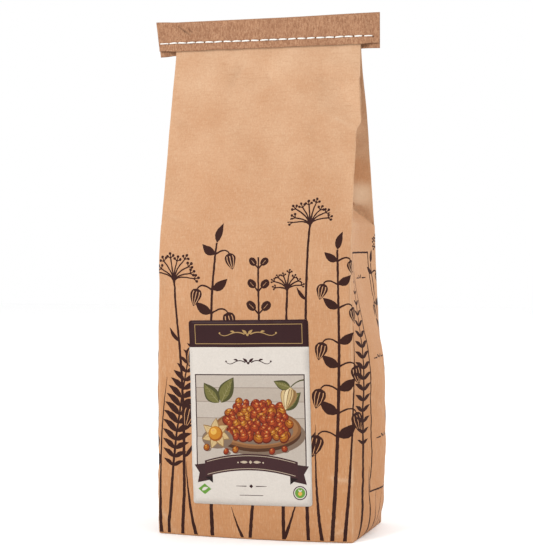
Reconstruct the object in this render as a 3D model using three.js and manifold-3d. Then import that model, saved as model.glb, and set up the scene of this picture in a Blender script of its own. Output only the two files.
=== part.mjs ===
// A tall gusseted kraft paper bag, filled with dried berries and sewn shut under a folded paper tape.
// Millimetres. The front faces -Y, right is +X, and the bag stands on z = 0 round the origin.

import * as THREE from 'three';
import { mergeVertices } from 'three/addons/utils/BufferGeometryUtils.js';
import Module from 'manifold-3d';

const wasm = await Module();
wasm.setup();

// Driving dimensions of the whole
const HEIGHT = 435;
const TUBE_WIDTH = 163.2;
const SIDE_DEPTH = 89.6;
const PAPER = 0.6;
const GAP = 0.3;

// The mouth, where the tube is pressed flat with its gussets folded in
const FOLD_GAP = 0.3;
const FLAT_HALF = FOLD_GAP / 2 + PAPER + FOLD_GAP + PAPER;
const FLAT_FROM = 405;
const MOUTH_Z = 432.2;
const LEAN = 0.282;

// The filled part
const SIDE_HALF = SIDE_DEPTH / 2;
const DEPTH_ROUNDING = 6;
const SHOULDER_EXTRA = 2.4;
const FRONT_CROWN = 5.3;
const SIDE_BULGE = 11.9;
const BULGE_RISE = 11;
const SIDE_SLUMP = 7;
const BACK_SHIFT = 5.6;
const UPPER_BACK_SHIFT = 2.1;
const LEFT_SPREAD = 1.9;
const LEFT_BASE_SPREAD = 0.9;
const RIGHT_SPREAD = 0.3;
const BASE_TUCK = 0.8;
const BASE_RADIUS = 1;
const BASE_THICKNESS = 1.2;
const CORNER_FOLD = 1.1;

// The heights between which each of these comes or goes
const SHOULDER_SPAN = [140, 210];
const CROWN_SPAN = [215, 400];
const BULGE_SPAN = [120, 240];
const SLUMP_SPAN = [150, 225];
const SLUMP_END_SPAN = [235, 300];
const GUSSET_TRIANGLE_SPAN = [258, 300];
const STEPS_BELOW_SPAN = [200, 258];
const STEPS_ABOVE_SPAN = [300, 362];
const BACK_SHIFT_SPAN = [100, 300];
const UPPER_BACK_SHIFT_SPAN = [330, FLAT_FROM];
const LEFT_SPREAD_SPAN = [205, 265];
const LEFT_BASE_SPREAD_SPAN = [0, 60];
const RIGHT_SPREAD_SPAN = [300, FLAT_FROM];
const BASE_TUCK_SPAN = [0, 15];
const CORNER_SPAN = [375, FLAT_FROM];

// The filling
const FILL_CLEARANCE = PAPER + 0.4;
const FILL_LOW = BASE_THICKNESS + 0.4;
const FILL_EDGE_Z = 245;
const FILL_DOME = 13;
const BERRY_BUMP = 1.6;
const BERRY_PITCH = 15;

// The label, a standard 4 by 6 inch one, turned a little to the left
const LABEL_WIDTH = 101.6;
const LABEL_HEIGHT = 152.4;
const LABEL_RADIUS = 2.5;
const LABEL_THICKNESS = 0.5;
const LABEL_CENTRE_X = -3;
const LABEL_CENTRE_Z = 104.5;
const LABEL_TURN = THREE.MathUtils.degToRad(1.1);

// The folded tape over the mouth
const TAPE_LEFT = -95.9;
const TAPE_RIGHT = 96.8;
const TAPE_THICKNESS = 0.6;
const FRONT_FLAP = 26.5;
const REAR_FLAP = 29.5;
const TAPE_HALF_INSIDE = FLAT_HALF + GAP;
const TAPE_END_INSIDE = 0.2;
const TAPE_BEND_FROM = 1;
const TAPE_BEND = 8;
const LEFT_END_SLANT = 3.2;

// The chain stitch
const STITCH_PITCH = 8.12;
const STITCH_COUNT = 23;
const STITCH_START_X = -95.5;
const STITCH_Z = HEIGHT - FRONT_FLAP + 7;
const THREAD_RADIUS = 0.62;
const CHAIN_RADIUS = 0.5;
const CHAIN_SPREAD = 1.3;
const CHAIN_HALF_GAP = 0.1;
const STITCH_ARCH = 0.5;
const PIN_RADIUS = 0.59;
const NEEDLE_HOLE_RADIUS = 0.95;
const NEEDLE_REACH = 6;

const clamp01 = (value) => Math.min(1, Math.max(0, value));

function ease([from, to], value) {
  const f = clamp01((value - from) / (to - from));
  return f * f * (3 - 2 * f);
}

function softMin(a, b, softness) {
  const h = clamp01(0.5 + (0.5 * (b - a)) / softness);
  return b + (a - b) * h - softness * h * (1 - h);
}

// How the tube's section changes with height

function halfDepth(z) {
  const leaning = FLAT_HALF + LEAN * Math.max(0, FLAT_FROM - z);
  const tuck = BASE_TUCK * (1 - ease(BASE_TUCK_SPAN, z));
  const full = SIDE_HALF + SHOULDER_EXTRA * ease(SHOULDER_SPAN, z) - tuck;
  return softMin(leaning, full, DEPTH_ROUNDING);
}

const sideBulge = (z) => SIDE_BULGE * (1 - Math.exp(-z / BULGE_RISE)) * (1 - ease(BULGE_SPAN, z));
const sideSlump = (z) => SIDE_SLUMP * ease(SLUMP_SPAN, z) * (1 - ease(SLUMP_END_SPAN, z));
const frontCrown = (z) => FRONT_CROWN * (1 - ease(CROWN_SPAN, z));
const rightCorner = (z) => TUBE_WIDTH / 2 + RIGHT_SPREAD * (1 - ease(RIGHT_SPREAD_SPAN, z));

function leftCorner(z) {
  const spread = LEFT_SPREAD * (1 - ease(LEFT_SPREAD_SPAN, z));
  return -TUBE_WIDTH / 2 - spread - LEFT_BASE_SPREAD * (1 - ease(LEFT_BASE_SPREAD_SPAN, z));
}

function backShift(z) {
  const upper = UPPER_BACK_SHIFT * (1 - ease(UPPER_BACK_SHIFT_SPAN, z));
  return upper + BACK_SHIFT * (1 - ease(BACK_SHIFT_SPAN, z));
}

// How far the folded corner runs along the panel and along the gusset
function cornerFold(z) {
  const open = 1 - ease(CORNER_SPAN, z);
  return {
    alongPanel: CORNER_FOLD * open,
    alongSide: CORNER_FOLD * open + (FLAT_HALF - FOLD_GAP / 2) * (1 - open),
  };
}

// The front panel's y at a given x and height
function frontY(x, z) {
  const fold = cornerFold(z).alongPanel;
  const left = leftCorner(z) + fold;
  const right = rightCorner(z) - fold;
  const across = (2 * (x - left)) / (right - left) - 1;
  return -halfDepth(z) - frontCrown(z) * Math.max(0, 1 - across * across);
}

// The gusset folds in as a V, whose foot opens into a flat triangle over the filling's shoulder. The paper
// keeps its width. Inward runs from 0 at the corner to 1 at the gusset's middle, and gives y in the front
// half and how far the paper stands out of the corners' plane.
function gussetPoint(z, inward) {
  const depth = halfDepth(z);
  const cornerY = depth - cornerFold(z).alongSide;
  const [foot, apex] = GUSSET_TRIANGLE_SPAN;
  const crease = clamp01((z - foot) / (apex - foot));
  const creaseY = Math.max(FOLD_GAP / 2, Math.min((1 - crease) * SIDE_HALF, cornerY));
  const foldDepth = Math.sqrt(Math.max(0, (crease * SIDE_HALF) ** 2 - (depth - creaseY) ** 2));
  const onWall = crease > 0 && inward <= crease;
  const along = onWall ? inward / crease : (inward - crease) / (1 - crease);
  const y = onWall
    ? THREE.MathUtils.lerp(cornerY, creaseY, along)
    : THREE.MathUtils.lerp(creaseY, FOLD_GAP / 2, along);
  const bulge = (sideBulge(z) - sideSlump(z)) * (1 - (1 - inward) ** 2);
  return { y: -y, out: bulge - foldDepth * (onWall ? along : 1) };
}

// Steps across half a gusset. One of them follows the triangle's crease, and is in the middle well below
// and above it
function gussetSteps(z) {
  const [foot, apex] = GUSSET_TRIANGLE_SPAN;
  const onTriangle = THREE.MathUtils.clamp((z - foot) / (apex - foot), 0.12, 0.88);
  const near = ease(STEPS_BELOW_SPAN, z) * (1 - ease(STEPS_ABOVE_SPAN, z));
  const crease = THREE.MathUtils.lerp(0.5, onTriangle, near);
  return [0, crease / 2, crease, (1 + crease) / 2, 1];
}

const PANEL_STEPS = 8;

// The outer loop at height z, anticlockwise from the front left corner as seen from above. It runs along
// the front panel, the right gusset, the back panel and the left gusset.
function section(z) {
  const shift = backShift(z);
  const left = leftCorner(z);
  const right = rightCorner(z);
  const fold = cornerFold(z);
  const points = [];
  for (let i = 0; i <= PANEL_STEPS; i++) {
    const x = THREE.MathUtils.lerp(left + fold.alongPanel, right - fold.alongPanel, i / PANEL_STEPS);
    points.push(new THREE.Vector2(x, frontY(x, z)));
  }
  const half = gussetSteps(z).map((inward) => ({ inward, ...gussetPoint(z, inward) }));
  const gusset = [...half, ...half.map((p) => ({ ...p, y: -p.y, inward: 2 - p.inward })).reverse()];
  for (const p of gusset) {
    points.push(new THREE.Vector2(right + (shift * p.inward) / 2 + p.out, p.y));
  }
  const front = points.slice(0, PANEL_STEPS + 1);
  for (const p of [...front].reverse()) {
    points.push(new THREE.Vector2(p.x + shift, -p.y));
  }
  for (const p of [...gusset].reverse()) {
    points.push(new THREE.Vector2(left + (shift * p.inward) / 2 - p.out, p.y));
  }
  return points;
}

// The same loop moved inward by a distance, with mitred corners
function inset(loop, distance) {
  const normals = loop.map((p, i) => {
    const q = loop[(i + 1) % loop.length];
    return new THREE.Vector2(q.y - p.y, p.x - q.x).normalize();
  });
  return loop.map((p, i) => {
    const before = normals[(i + loop.length - 1) % loop.length];
    const after = normals[i];
    const mitre = before.clone().add(after).divideScalar(1 + before.dot(after));
    return p.clone().addScaledVector(mitre, -distance);
  });
}

// Geometry helpers

function geometryFrom(positions, triangles) {
  const geometry = new THREE.BufferGeometry();
  geometry.setAttribute('position', new THREE.Float32BufferAttribute(positions, 3));
  geometry.setIndex(triangles);
  return geometry;
}

// Joins equal loops of points, one after the other. An end is filled flat, or runs to its middle point.
function loft(loops, firstMiddle, lastMiddle) {
  const count = loops[0].length;
  const last = (loops.length - 1) * count;
  const points = loops.flat();
  const positions = points.flatMap((p) => p.toArray());
  const triangles = [];
  for (let low = 0; low < last; low += count) {
    for (let j = 0; j < count; j++) {
      const [a, b] = [low + j, low + ((j + 1) % count)];
      const [c, d] = [b + count, a + count];
      if (points[a].distanceTo(points[c]) < points[b].distanceTo(points[d])) {
        triangles.push(a, b, c, a, c, d);
      } else {
        triangles.push(a, b, d, b, c, d);
      }
    }
  }
  const fill = (loop, base, middle, turned) => {
    const middleIndex = positions.length / 3;
    const fan = (p, j) => [j, (j + 1) % count, middleIndex - base];
    if (middle) {
      positions.push(...middle.toArray());
    }
    for (const [i, j, k] of middle ? loop.map(fan) : flatTriangles(loop)) {
      triangles.push(base + i, base + (turned ? k : j), base + (turned ? j : k));
    }
  };
  fill(loops[0], 0, firstMiddle, true);
  fill(loops.at(-1), last, lastMiddle, false);
  return geometryFrom(positions, triangles);
}

// Triangles that fill a flat loop, wound the same way as the loop
function flatTriangles(loop) {
  const normal = new THREE.Vector3();
  loop.forEach((p, i) => normal.add(p.clone().cross(loop[(i + 1) % loop.length])));
  const across = loop[1].clone().sub(loop[0]).normalize();
  const up = normal.normalize().clone().cross(across);
  const flat = loop.map((p) => new THREE.Vector2(p.dot(across), p.dot(up)));
  return THREE.ShapeUtils.triangulateShape(flat, []);
}

function toSolid(geometry) {
  const merged = mergeVertices(geometry, 1e-4);
  return new wasm.Manifold(
    new wasm.Mesh({
      numProp: 3,
      vertProperties: new Float32Array(merged.attributes.position.array),
      triVerts: new Uint32Array(merged.index.array),
    }),
  );
}

function toGeometry(solid) {
  const mesh = solid.getMesh();
  return geometryFrom(Array.from(mesh.vertProperties), Array.from(mesh.triVerts));
}

// A straight prism along Y, round the stitch line at x
function needlePrism(x, radius, fromY, toY) {
  const sides = 6;
  const loopAt = (y) =>
    Array.from({ length: sides }, (_, i) => {
      const angle = (2 * Math.PI * (i + 0.5)) / sides;
      return new THREE.Vector3(x + radius * Math.cos(angle), y, STITCH_Z - radius * Math.sin(angle));
    });
  return loft([loopAt(fromY), loopAt(toY)]);
}

const stitchX = Array.from({ length: STITCH_COUNT }, (_, i) => STITCH_START_X + STITCH_PITCH * (i + 1));

function pierce(geometry) {
  let solid = toSolid(geometry);
  for (const x of stitchX) {
    solid = solid.subtract(toSolid(needlePrism(x, NEEDLE_HOLE_RADIUS, -NEEDLE_REACH, NEEDLE_REACH)));
  }
  return toGeometry(solid);
}

// The bag: outer wall up, over the rim of the mouth and down the inner wall to the floor

const toHeight = (loop, z) => loop.map((p) => new THREE.Vector3(p.x, p.y, z));

const WALL_HEIGHTS = [
  ...[4, 10, 20, 40, 70, 100, 130, 155, 180, 200, 215, 230, FILL_EDGE_Z, 257],
  ...[262, 268, 276, 284, 292, 300, 310, 325, 343, 362, 380, 393, 400],
  ...[FLAT_FROM, MOUTH_Z],
];

function baseInset(z) {
  const left = Math.max(0, BASE_RADIUS - z);
  return BASE_RADIUS - Math.sqrt(BASE_RADIUS ** 2 - left ** 2);
}

function paperBag() {
  const loops = [];
  for (const z of [0, BASE_RADIUS * 0.3, BASE_RADIUS, ...WALL_HEIGHTS]) {
    loops.push(toHeight(inset(section(z), baseInset(z)), z));
  }
  for (const z of [...WALL_HEIGHTS].reverse()) {
    loops.push(toHeight(inset(section(z), PAPER), z));
  }
  loops.push(toHeight(inset(section(BASE_THICKNESS), PAPER + baseInset(BASE_THICKNESS)), BASE_THICKNESS));
  return pierce(loft(loops, new THREE.Vector3(0, 0, 0), new THREE.Vector3(0, 0, BASE_THICKNESS)));
}

// The filling: the bag's inside, domed at the top and bumpy with berries

function berryBump(x, y) {
  const across = (2 * Math.PI * x) / BERRY_PITCH;
  const along = (2 * Math.PI * y) / BERRY_PITCH;
  return BERRY_BUMP * (Math.sin(across) * Math.cos(along) + Math.sin(0.7 * across + 1.3 * along));
}

function driedBerries() {
  const loops = [toHeight(inset(section(FILL_LOW), FILL_CLEARANCE + BASE_RADIUS), FILL_LOW)];
  for (const z of WALL_HEIGHTS.filter((z) => z <= FILL_EDGE_Z)) {
    loops.push(toHeight(inset(section(z), FILL_CLEARANCE), z));
  }
  const edge = loops.at(-1);
  const topSteps = 9;
  for (let i = 1; i < topSteps; i++) {
    const scale = 1 - i / topSteps;
    loops.push(
      edge.map((p) => {
        const x = p.x * scale;
        const y = p.y * scale;
        const dome = FILL_DOME * (1 - scale * scale);
        return new THREE.Vector3(x, y, FILL_EDGE_Z + dome + berryBump(x, y) * (1 - scale ** 4));
      }),
    );
  }
  const peak = new THREE.Vector3(0, 0, FILL_EDGE_Z + FILL_DOME + berryBump(0, 0));
  return loft(loops, new THREE.Vector3(0, 0, FILL_LOW), peak);
}

// The tape: one strip folded over the mouth, its two flaps meeting where it is longer than the bag

function tapeHalfInside(x) {
  const past = Math.abs(x) - TUBE_WIDTH / 2 - TAPE_BEND_FROM;
  return THREE.MathUtils.lerp(TAPE_HALF_INSIDE, TAPE_END_INSIDE, ease([0, TAPE_BEND], past));
}

function closureTape() {
  const bends = [1, 0.6, 0.3, 0].map((f) => TUBE_WIDTH / 2 + TAPE_BEND_FROM + TAPE_BEND * f);
  const middle = [...bends, 40, 0, -40, ...bends.map((x) => -x).reverse()];
  const stations = [TAPE_RIGHT, ...middle, TAPE_LEFT];
  const arcSteps = 4;
  const loops = stations.map((x) => {
    const inside = tapeHalfInside(x);
    const outside = inside + TAPE_THICKNESS;
    const arcZ = HEIGHT - outside;
    const outline = [[-outside, HEIGHT - FRONT_FLAP]];
    for (let i = 0; i <= arcSteps; i++) {
      const angle = Math.PI * (1 - i / arcSteps);
      outline.push([outside * Math.cos(angle), arcZ + outside * Math.sin(angle)]);
    }
    outline.push([outside, HEIGHT - REAR_FLAP], [inside, HEIGHT - REAR_FLAP]);
    for (let i = 0; i <= arcSteps; i++) {
      const angle = (Math.PI * i) / arcSteps;
      outline.push([inside * Math.cos(angle), arcZ + inside * Math.sin(angle)]);
    }
    outline.push([-inside, HEIGHT - FRONT_FLAP]);
    return outline.map(([y, z]) => {
      const slant = x === TAPE_LEFT ? (LEFT_END_SLANT * (z - HEIGHT + FRONT_FLAP)) / FRONT_FLAP : 0;
      return new THREE.Vector3(x - slant, y, z);
    });
  });
  return pierce(loft(loops));
}

// The thread: arched dashes in front, a pin through each needle hole, and the chain's two strands behind

function threadTube(radius, xs, pathAt) {
  const sides = 6;
  const path = xs.map(pathAt);
  const loops = path.map((p) =>
    Array.from({ length: sides }, (_, i) => {
      const angle = (2 * Math.PI * i) / sides;
      return new THREE.Vector3(p.x, p.y + radius * Math.cos(angle), p.z + radius * Math.sin(angle));
    }),
  );
  return loft(loops);
}

function stitchSteps(from, stepsEach) {
  const xs = [];
  for (let i = from * stepsEach; i <= STITCH_COUNT * stepsEach; i++) {
    xs.push(STITCH_START_X + (STITCH_PITCH * i) / stepsEach);
  }
  return xs;
}

const stitchWave = (x) => Math.abs(Math.sin((Math.PI * (x - STITCH_START_X)) / STITCH_PITCH));
const tapeFaceY = (x) => tapeHalfInside(x) + TAPE_THICKNESS + GAP;

function sewingThread() {
  const front = threadTube(THREAD_RADIUS, stitchSteps(0, 4), (x) => {
    const y = -tapeFaceY(x) - THREAD_RADIUS - STITCH_ARCH * stitchWave(x);
    return new THREE.Vector3(x, y, STITCH_Z);
  });
  let solid = toSolid(front);
  for (const side of [1, -1]) {
    const strand = threadTube(CHAIN_RADIUS, stitchSteps(1, 4), (x) => {
      const z = STITCH_Z + side * (CHAIN_HALF_GAP + CHAIN_SPREAD * stitchWave(x));
      return new THREE.Vector3(x, tapeFaceY(x) + CHAIN_RADIUS, z);
    });
    solid = solid.add(toSolid(strand));
  }
  for (const x of stitchX) {
    const frontY = -tapeFaceY(x) - THREAD_RADIUS;
    const backY = tapeFaceY(x) + CHAIN_RADIUS;
    solid = solid.add(toSolid(needlePrism(x, PIN_RADIUS, frontY, backY)));
  }
  return toGeometry(solid);
}

// The label: a sheet of even thickness that follows the front panel, with rounded corners

function frontLabel() {
  const halfWidth = LABEL_WIDTH / 2;
  const halfHeight = LABEL_HEIGHT / 2;
  const cornerRows = [0, 0.15, 0.45, 1].map((f) => halfHeight - LABEL_RADIUS * f);
  const rows = [...cornerRows.map((v) => -v), -50, -25, 0, 25, 50, ...cornerRows.reverse()];
  const columns = 8;
  const rowWidth = (v) => {
    const above = Math.max(0, Math.abs(v) - halfHeight + LABEL_RADIUS);
    return halfWidth - LABEL_RADIUS + Math.sqrt(LABEL_RADIUS ** 2 - above ** 2);
  };
  const place = (u, v, lift) => {
    const x = LABEL_CENTRE_X + u * Math.cos(LABEL_TURN) - v * Math.sin(LABEL_TURN);
    const z = LABEL_CENTRE_Z + u * Math.sin(LABEL_TURN) + v * Math.cos(LABEL_TURN);
    return new THREE.Vector3(x, frontY(x, z) - lift, z);
  };
  const loops = rows.map((v) => {
    const loop = [];
    for (let i = 0; i <= columns; i++) {
      loop.push(place(rowWidth(v) * (1 - (2 * i) / columns), v, GAP));
    }
    for (let i = 0; i <= columns; i++) {
      loop.push(place(rowWidth(v) * ((2 * i) / columns - 1), v, GAP + LABEL_THICKNESS));
    }
    return loop;
  });
  return loft(loops);
}

// The finished scene graph

function piece(name, geometry, color, roughness) {
  const material = new THREE.MeshStandardMaterial({ color, roughness, metalness: 0 });
  const mesh = new THREE.Mesh(geometry, material);
  mesh.name = name;
  return mesh;
}

const bag = new THREE.Group();
bag.add(piece('paper_bag', paperBag(), 0xcf9b6e, 0.85));
bag.add(piece('dried_berries', driedBerries(), 0xa3491c, 0.6));
bag.add(piece('closure_tape', closureTape(), 0xbc8c6b, 0.9));
bag.add(piece('sewing_thread', sewingThread(), 0xeeece6, 0.8));
bag.add(piece('front_label', frontLabel(), 0xe3d7cd, 0.55));

export default bag;
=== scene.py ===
# A filled kraft paper bag with side gussets, sewn shut under a folded crepe tape, with a print and a label.
# Shapes are worked out in millimetres, like the solids, and become metres when a mesh is made.
import math

import bpy
import numpy as np
from mathutils import Matrix, Vector
from mathutils.geometry import delaunay_2d_cdt


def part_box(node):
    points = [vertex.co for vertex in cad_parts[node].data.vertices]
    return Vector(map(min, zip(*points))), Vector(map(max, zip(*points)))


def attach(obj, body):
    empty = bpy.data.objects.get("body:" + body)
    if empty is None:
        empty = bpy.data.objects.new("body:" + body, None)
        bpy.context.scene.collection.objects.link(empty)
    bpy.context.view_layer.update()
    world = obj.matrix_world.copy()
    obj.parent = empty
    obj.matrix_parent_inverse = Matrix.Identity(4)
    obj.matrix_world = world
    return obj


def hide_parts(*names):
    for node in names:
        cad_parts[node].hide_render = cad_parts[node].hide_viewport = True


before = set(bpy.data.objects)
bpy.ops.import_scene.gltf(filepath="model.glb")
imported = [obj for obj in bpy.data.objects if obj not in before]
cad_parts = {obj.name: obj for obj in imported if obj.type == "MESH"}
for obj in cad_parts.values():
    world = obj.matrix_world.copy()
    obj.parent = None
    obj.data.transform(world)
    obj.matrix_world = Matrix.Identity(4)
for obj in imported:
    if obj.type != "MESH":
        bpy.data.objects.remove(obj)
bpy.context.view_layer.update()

MM = 0.001
FLOOR_GAP = 0.0002


def box_mm(node):
    """The lowest and highest corner of a CAD node, in mm."""
    low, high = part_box(node)
    return np.array(low) / MM, np.array(high) / MM


# Driving dimensions of the bag, as in the solids
TAPE_HIGH = box_mm("closure_tape")[1]
HEIGHT = TAPE_HIGH[2]
TUBE_WIDTH = 163.2
SIDE_DEPTH = 89.6
PAPER = 0.6
FOLD_GAP = 0.3
FLAT_HALF = FOLD_GAP / 2 + PAPER + FOLD_GAP + PAPER
FLAT_FROM = 405
MOUTH_Z = box_mm("paper_bag")[1][2]
LEAN = 0.282
SIDE_HALF = SIDE_DEPTH / 2
DEPTH_ROUNDING = 6
SHOULDER_EXTRA = 2.4
FRONT_CROWN = 5.3
SIDE_BULGE = 11.9
BULGE_RISE = 11
SIDE_SLUMP = 7
BACK_SHIFT = 5.6
UPPER_BACK_SHIFT = 2.1
EDGE_FLARE = 3.3
EDGE_FLARE_WIDTH = 16
CORNER_REACH = 1.2
CORNER_EXTRA_REACH = 2.3
CORNER_PULL = 0.6
LEFT_SPREAD = 1.9
LEFT_BASE_SPREAD = 0.9
RIGHT_SPREAD = 0.3
BASE_TUCK = 0.8
BASE_RADIUS = 1
BASE_THICKNESS = 1.2

# The heights between which each of these comes or goes
SHOULDER_SPAN = (140, 210)
CROWN_SPAN = (215, 400)
BULGE_SPAN = (120, 240)
SLUMP_SPAN = (150, 225)
SLUMP_END_SPAN = (235, 300)
GUSSET_TRIANGLE_SPAN = (258, 300)
BACK_SHIFT_SPAN = (100, 300)
UPPER_BACK_SHIFT_SPAN = (330, FLAT_FROM)
LEFT_SPREAD_SPAN = (205, 265)
LEFT_BASE_SPREAD_SPAN = (0, 60)
RIGHT_SPREAD_SPAN = (300, FLAT_FROM)
BASE_TUCK_SPAN = (0, 15)
CORNER_SPAN = (375, FLAT_FROM)
CORNER_REACH_SPAN = (5, 60)
CORNER_REACH_END_SPAN = (200, 262)
EDGE_FLARE_SPAN = (336, 343)
EDGE_FLARE_END_SPAN = (346, 396)

# The paper's own measures round the tube, from the front's middle
PANEL_HALF = TUBE_WIDTH / 2
QUARTER = PANEL_HALF + SIDE_HALF
HALF_ROUND = 2 * QUARTER

# The label, which is turned a little to the left
LABEL_WIDTH = 101.6
LABEL_HEIGHT = 152.4
LABEL_RADIUS = 2.5
LABEL_CENTRE = (-3, 104.5)
LABEL_TURN = math.radians(1.1)

# The camera, as found from the photograph
PHOTO_HEIGHT = 556
FOCAL_LENGTH_PIXELS = 1370.5
SENSOR = 36
CAMERA_PLACE = (0.2965, -1.1300, 0.2439)
CAMERA_YAW = math.radians(14.77)
CAMERA_PITCH = math.radians(1.48)
CAMERA_ROLL = math.radians(-0.23)

# The lights: name, place and width in metres, and power in watts
LIGHTS = [
    ("key_light", (-0.98, -1.66, 1.3), 0.7, 25.7),
    ("side_light", (1.9, 0.8, 1.6), 1.1, 25.7),
]
LIGHT_TARGET = (0, 0, 0.22)
FLOOR_HALF = 4.0


# The camera, the lights and the floor


def place_camera():
    data = bpy.data.cameras.new("camera")
    data.sensor_width = SENSOR
    data.lens = FOCAL_LENGTH_PIXELS / PHOTO_HEIGHT * SENSOR
    camera = bpy.data.objects.new("camera", data)
    level = Matrix.Rotation(math.pi / 2 - CAMERA_PITCH, 4, "X")
    aimed = Matrix.Rotation(CAMERA_YAW, 4, "Z") @ level @ Matrix.Rotation(CAMERA_ROLL, 4, "Z")
    camera.matrix_world = Matrix.Translation(CAMERA_PLACE) @ aimed
    bpy.context.collection.objects.link(camera)
    bpy.context.scene.camera = camera


def area_light(name, place, size, power):
    data = bpy.data.lights.new(name, "AREA")
    data.shape = "DISK"
    data.size = size
    data.energy = power
    light = bpy.data.objects.new(name, data)
    light.location = place
    light.rotation_euler = (Vector(LIGHT_TARGET) - Vector(place)).to_track_quat("-Z", "Y").to_euler()
    bpy.context.collection.objects.link(light)


def light_scene():
    for light in LIGHTS:
        area_light(*light)
    world = bpy.data.worlds.new("white_studio")
    world.use_nodes = True
    background = world.node_tree.nodes["Background"]
    background.inputs["Color"].default_value = (1, 1, 1, 1)
    background.inputs["Strength"].default_value = 1.0
    bpy.context.scene.world = world
    bpy.context.scene.view_settings.view_transform = "Standard"


# Materials

# How much brighter than the backdrop the studio's light makes a white sheet on the bag's front
LIGHT_LEVEL = 1.53
LABEL_MOTTLE = 0.92


def colour(red, green, blue):
    """What a surface reflects to look this colour, in 0 to 255, in the studio's light."""
    parts = [c / 255 for c in (red, green, blue)]
    light = [c / 12.92 if c <= 0.04045 else ((c + 0.055) / 1.055) ** 2.4 for c in parts]
    return (*[c / LIGHT_LEVEL for c in light], 1)


class Shader:
    """A material under construction, whose methods add nodes and return their outputs."""

    def __init__(self, name, roughness, specular):
        self.material = bpy.data.materials.new(name)
        self.material.use_nodes = True
        self.tree = self.material.node_tree
        self.surface = self.tree.nodes["Principled BSDF"]
        self.surface.inputs["Roughness"].default_value = roughness
        self.surface.inputs["Specular IOR Level"].default_value = specular
        self.place = self.node("ShaderNodeTexCoord").outputs["Object"]

    def node(self, kind, **settings):
        made = self.tree.nodes.new(kind)
        for key, value in settings.items():
            setattr(made, key, value)
        return made

    def feed(self, socket, value):
        if isinstance(value, bpy.types.NodeSocket):
            self.tree.links.new(value, socket)
        else:
            socket.default_value = value

    def stretched(self, stretch):
        """The place in the object, squeezed by a factor along each axis."""
        mapping = self.node("ShaderNodeMapping")
        self.feed(mapping.inputs["Vector"], self.place)
        mapping.inputs["Scale"].default_value = stretch
        return mapping.outputs["Vector"]

    def noise(self, size, detail, stretch=(1, 1, 1)):
        """Random tones from 0 to 1 in patches of a size in mm."""
        made = self.node("ShaderNodeTexNoise")
        self.feed(made.inputs["Vector"], self.stretched(stretch))
        made.inputs["Scale"].default_value = 1 / (size * MM)
        made.inputs["Detail"].default_value = detail
        return made.outputs["Fac"]

    def band(self, value, low, high, share=1.0):
        """A value's range from low to high, moved to 0 to a share and clamped."""
        made = self.node("ShaderNodeMapRange")
        self.feed(made.inputs["Value"], value)
        for key, number in (("From Min", low), ("From Max", high), ("To Max", share)):
            made.inputs[key].default_value = number
        return made.outputs["Result"]

    def mix(self, factor, a, b):
        made = self.node("ShaderNodeMix", data_type="RGBA")
        self.feed(made.inputs[0], factor)
        self.feed(made.inputs[6], a)
        self.feed(made.inputs[7], b)
        return made.outputs[2]

    def spotted(self, tone, other, size, detail, low, high, share=1.0, stretch=(1, 1, 1)):
        """A tone with another over a share of it, where the noise of a size in mm passes from low to high."""
        return self.mix(self.band(self.noise(size, detail, stretch), low, high, share), tone, other)

    def marked(self, tone, other, name, low, high, share=1.0):
        """A tone with another over a share of it, where the points' own value passes from low to high."""
        return self.mix(self.band(self.attribute(name), low, high, share), tone, other)

    def attribute(self, name):
        return self.node("ShaderNodeAttribute", attribute_name=name).outputs["Fac"]

    def height(self):
        """The height in metres."""
        made = self.node("ShaderNodeSeparateXYZ")
        self.feed(made.inputs["Vector"], self.place)
        return made.outputs["Z"]

    def bump(self, height, depth, under=None):
        """Bumps of a depth in mm, on top of others."""
        made = self.node("ShaderNodeBump")
        made.inputs["Distance"].default_value = depth * MM
        self.feed(made.inputs["Height"], height)
        if under is not None:
            self.feed(made.inputs["Normal"], under)
        return made.outputs["Normal"]

    def finish(self, base, normal=None):
        self.feed(self.surface.inputs["Base Color"], base)
        if normal is not None:
            self.feed(self.surface.inputs["Normal"], normal)
        return self.material


def kraft_colour(shader):
    """Kraft paper's clouded and fibrous brown. It is warmer and darker low down and paler high up, partly its
    own tone and partly painted light from above. It is lighter on its rubbed creases and corners, with a
    painted highlight and painted warm shade on the right gusset.
    """
    # Paler high up and darker low down: partly the paper's own tone, partly painted light from above.
    low_down, high_up = colour(207, 149, 101), colour(229, 186, 149)
    tone = shader.mix(shader.band(shader.height(), 0.10, 0.40), low_down, high_up)
    tone = shader.spotted(tone, colour(198, 138, 92), 30, 4, 0.3, 0.7, 0.42)
    tone = shader.spotted(tone, colour(178, 120, 76), 1.3, 3, 0.4, 0.72, 0.24)
    tone = shader.spotted(tone, colour(242, 208, 172), 0.8, 3, 0.5, 0.8, 0.34, (1, 1, 0.14))
    tone = shader.spotted(tone, colour(184, 128, 84), 0.9, 3, 0.53, 0.77, 0.28, (0.1, 0.1, 1))
    # Painted warm shade in the right gusset's fold.
    tone = shader.marked(tone, colour(186, 116, 58), "painted_shade", 0, 1, 0.5)
    # Lighter along rubbed creases and corners, and a painted highlight on the right gusset's lit facet.
    return shader.marked(tone, colour(242, 208, 174), "crease", 0, 1, 0.8)


def paper_bumps(shader, depth=0.06):
    fibres = shader.noise(0.9, 3, (1, 1, 0.35))
    cockle = shader.noise(7, 3)
    return shader.bump(fibres, depth, shader.bump(cockle, 0.35))


def kraft_material():
    shader = Shader("kraft_paper", 0.72, 0.2)
    return shader.finish(kraft_colour(shader), paper_bumps(shader))


def ink_material():
    shader = Shader("print_ink", 0.7, 0.08)
    tone = shader.spotted(colour(60, 34, 29), colour(112, 76, 56), 1.1, 3, 0.55, 0.85, 0.22)
    return shader.finish(tone, paper_bumps(shader, 0.04))


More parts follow.
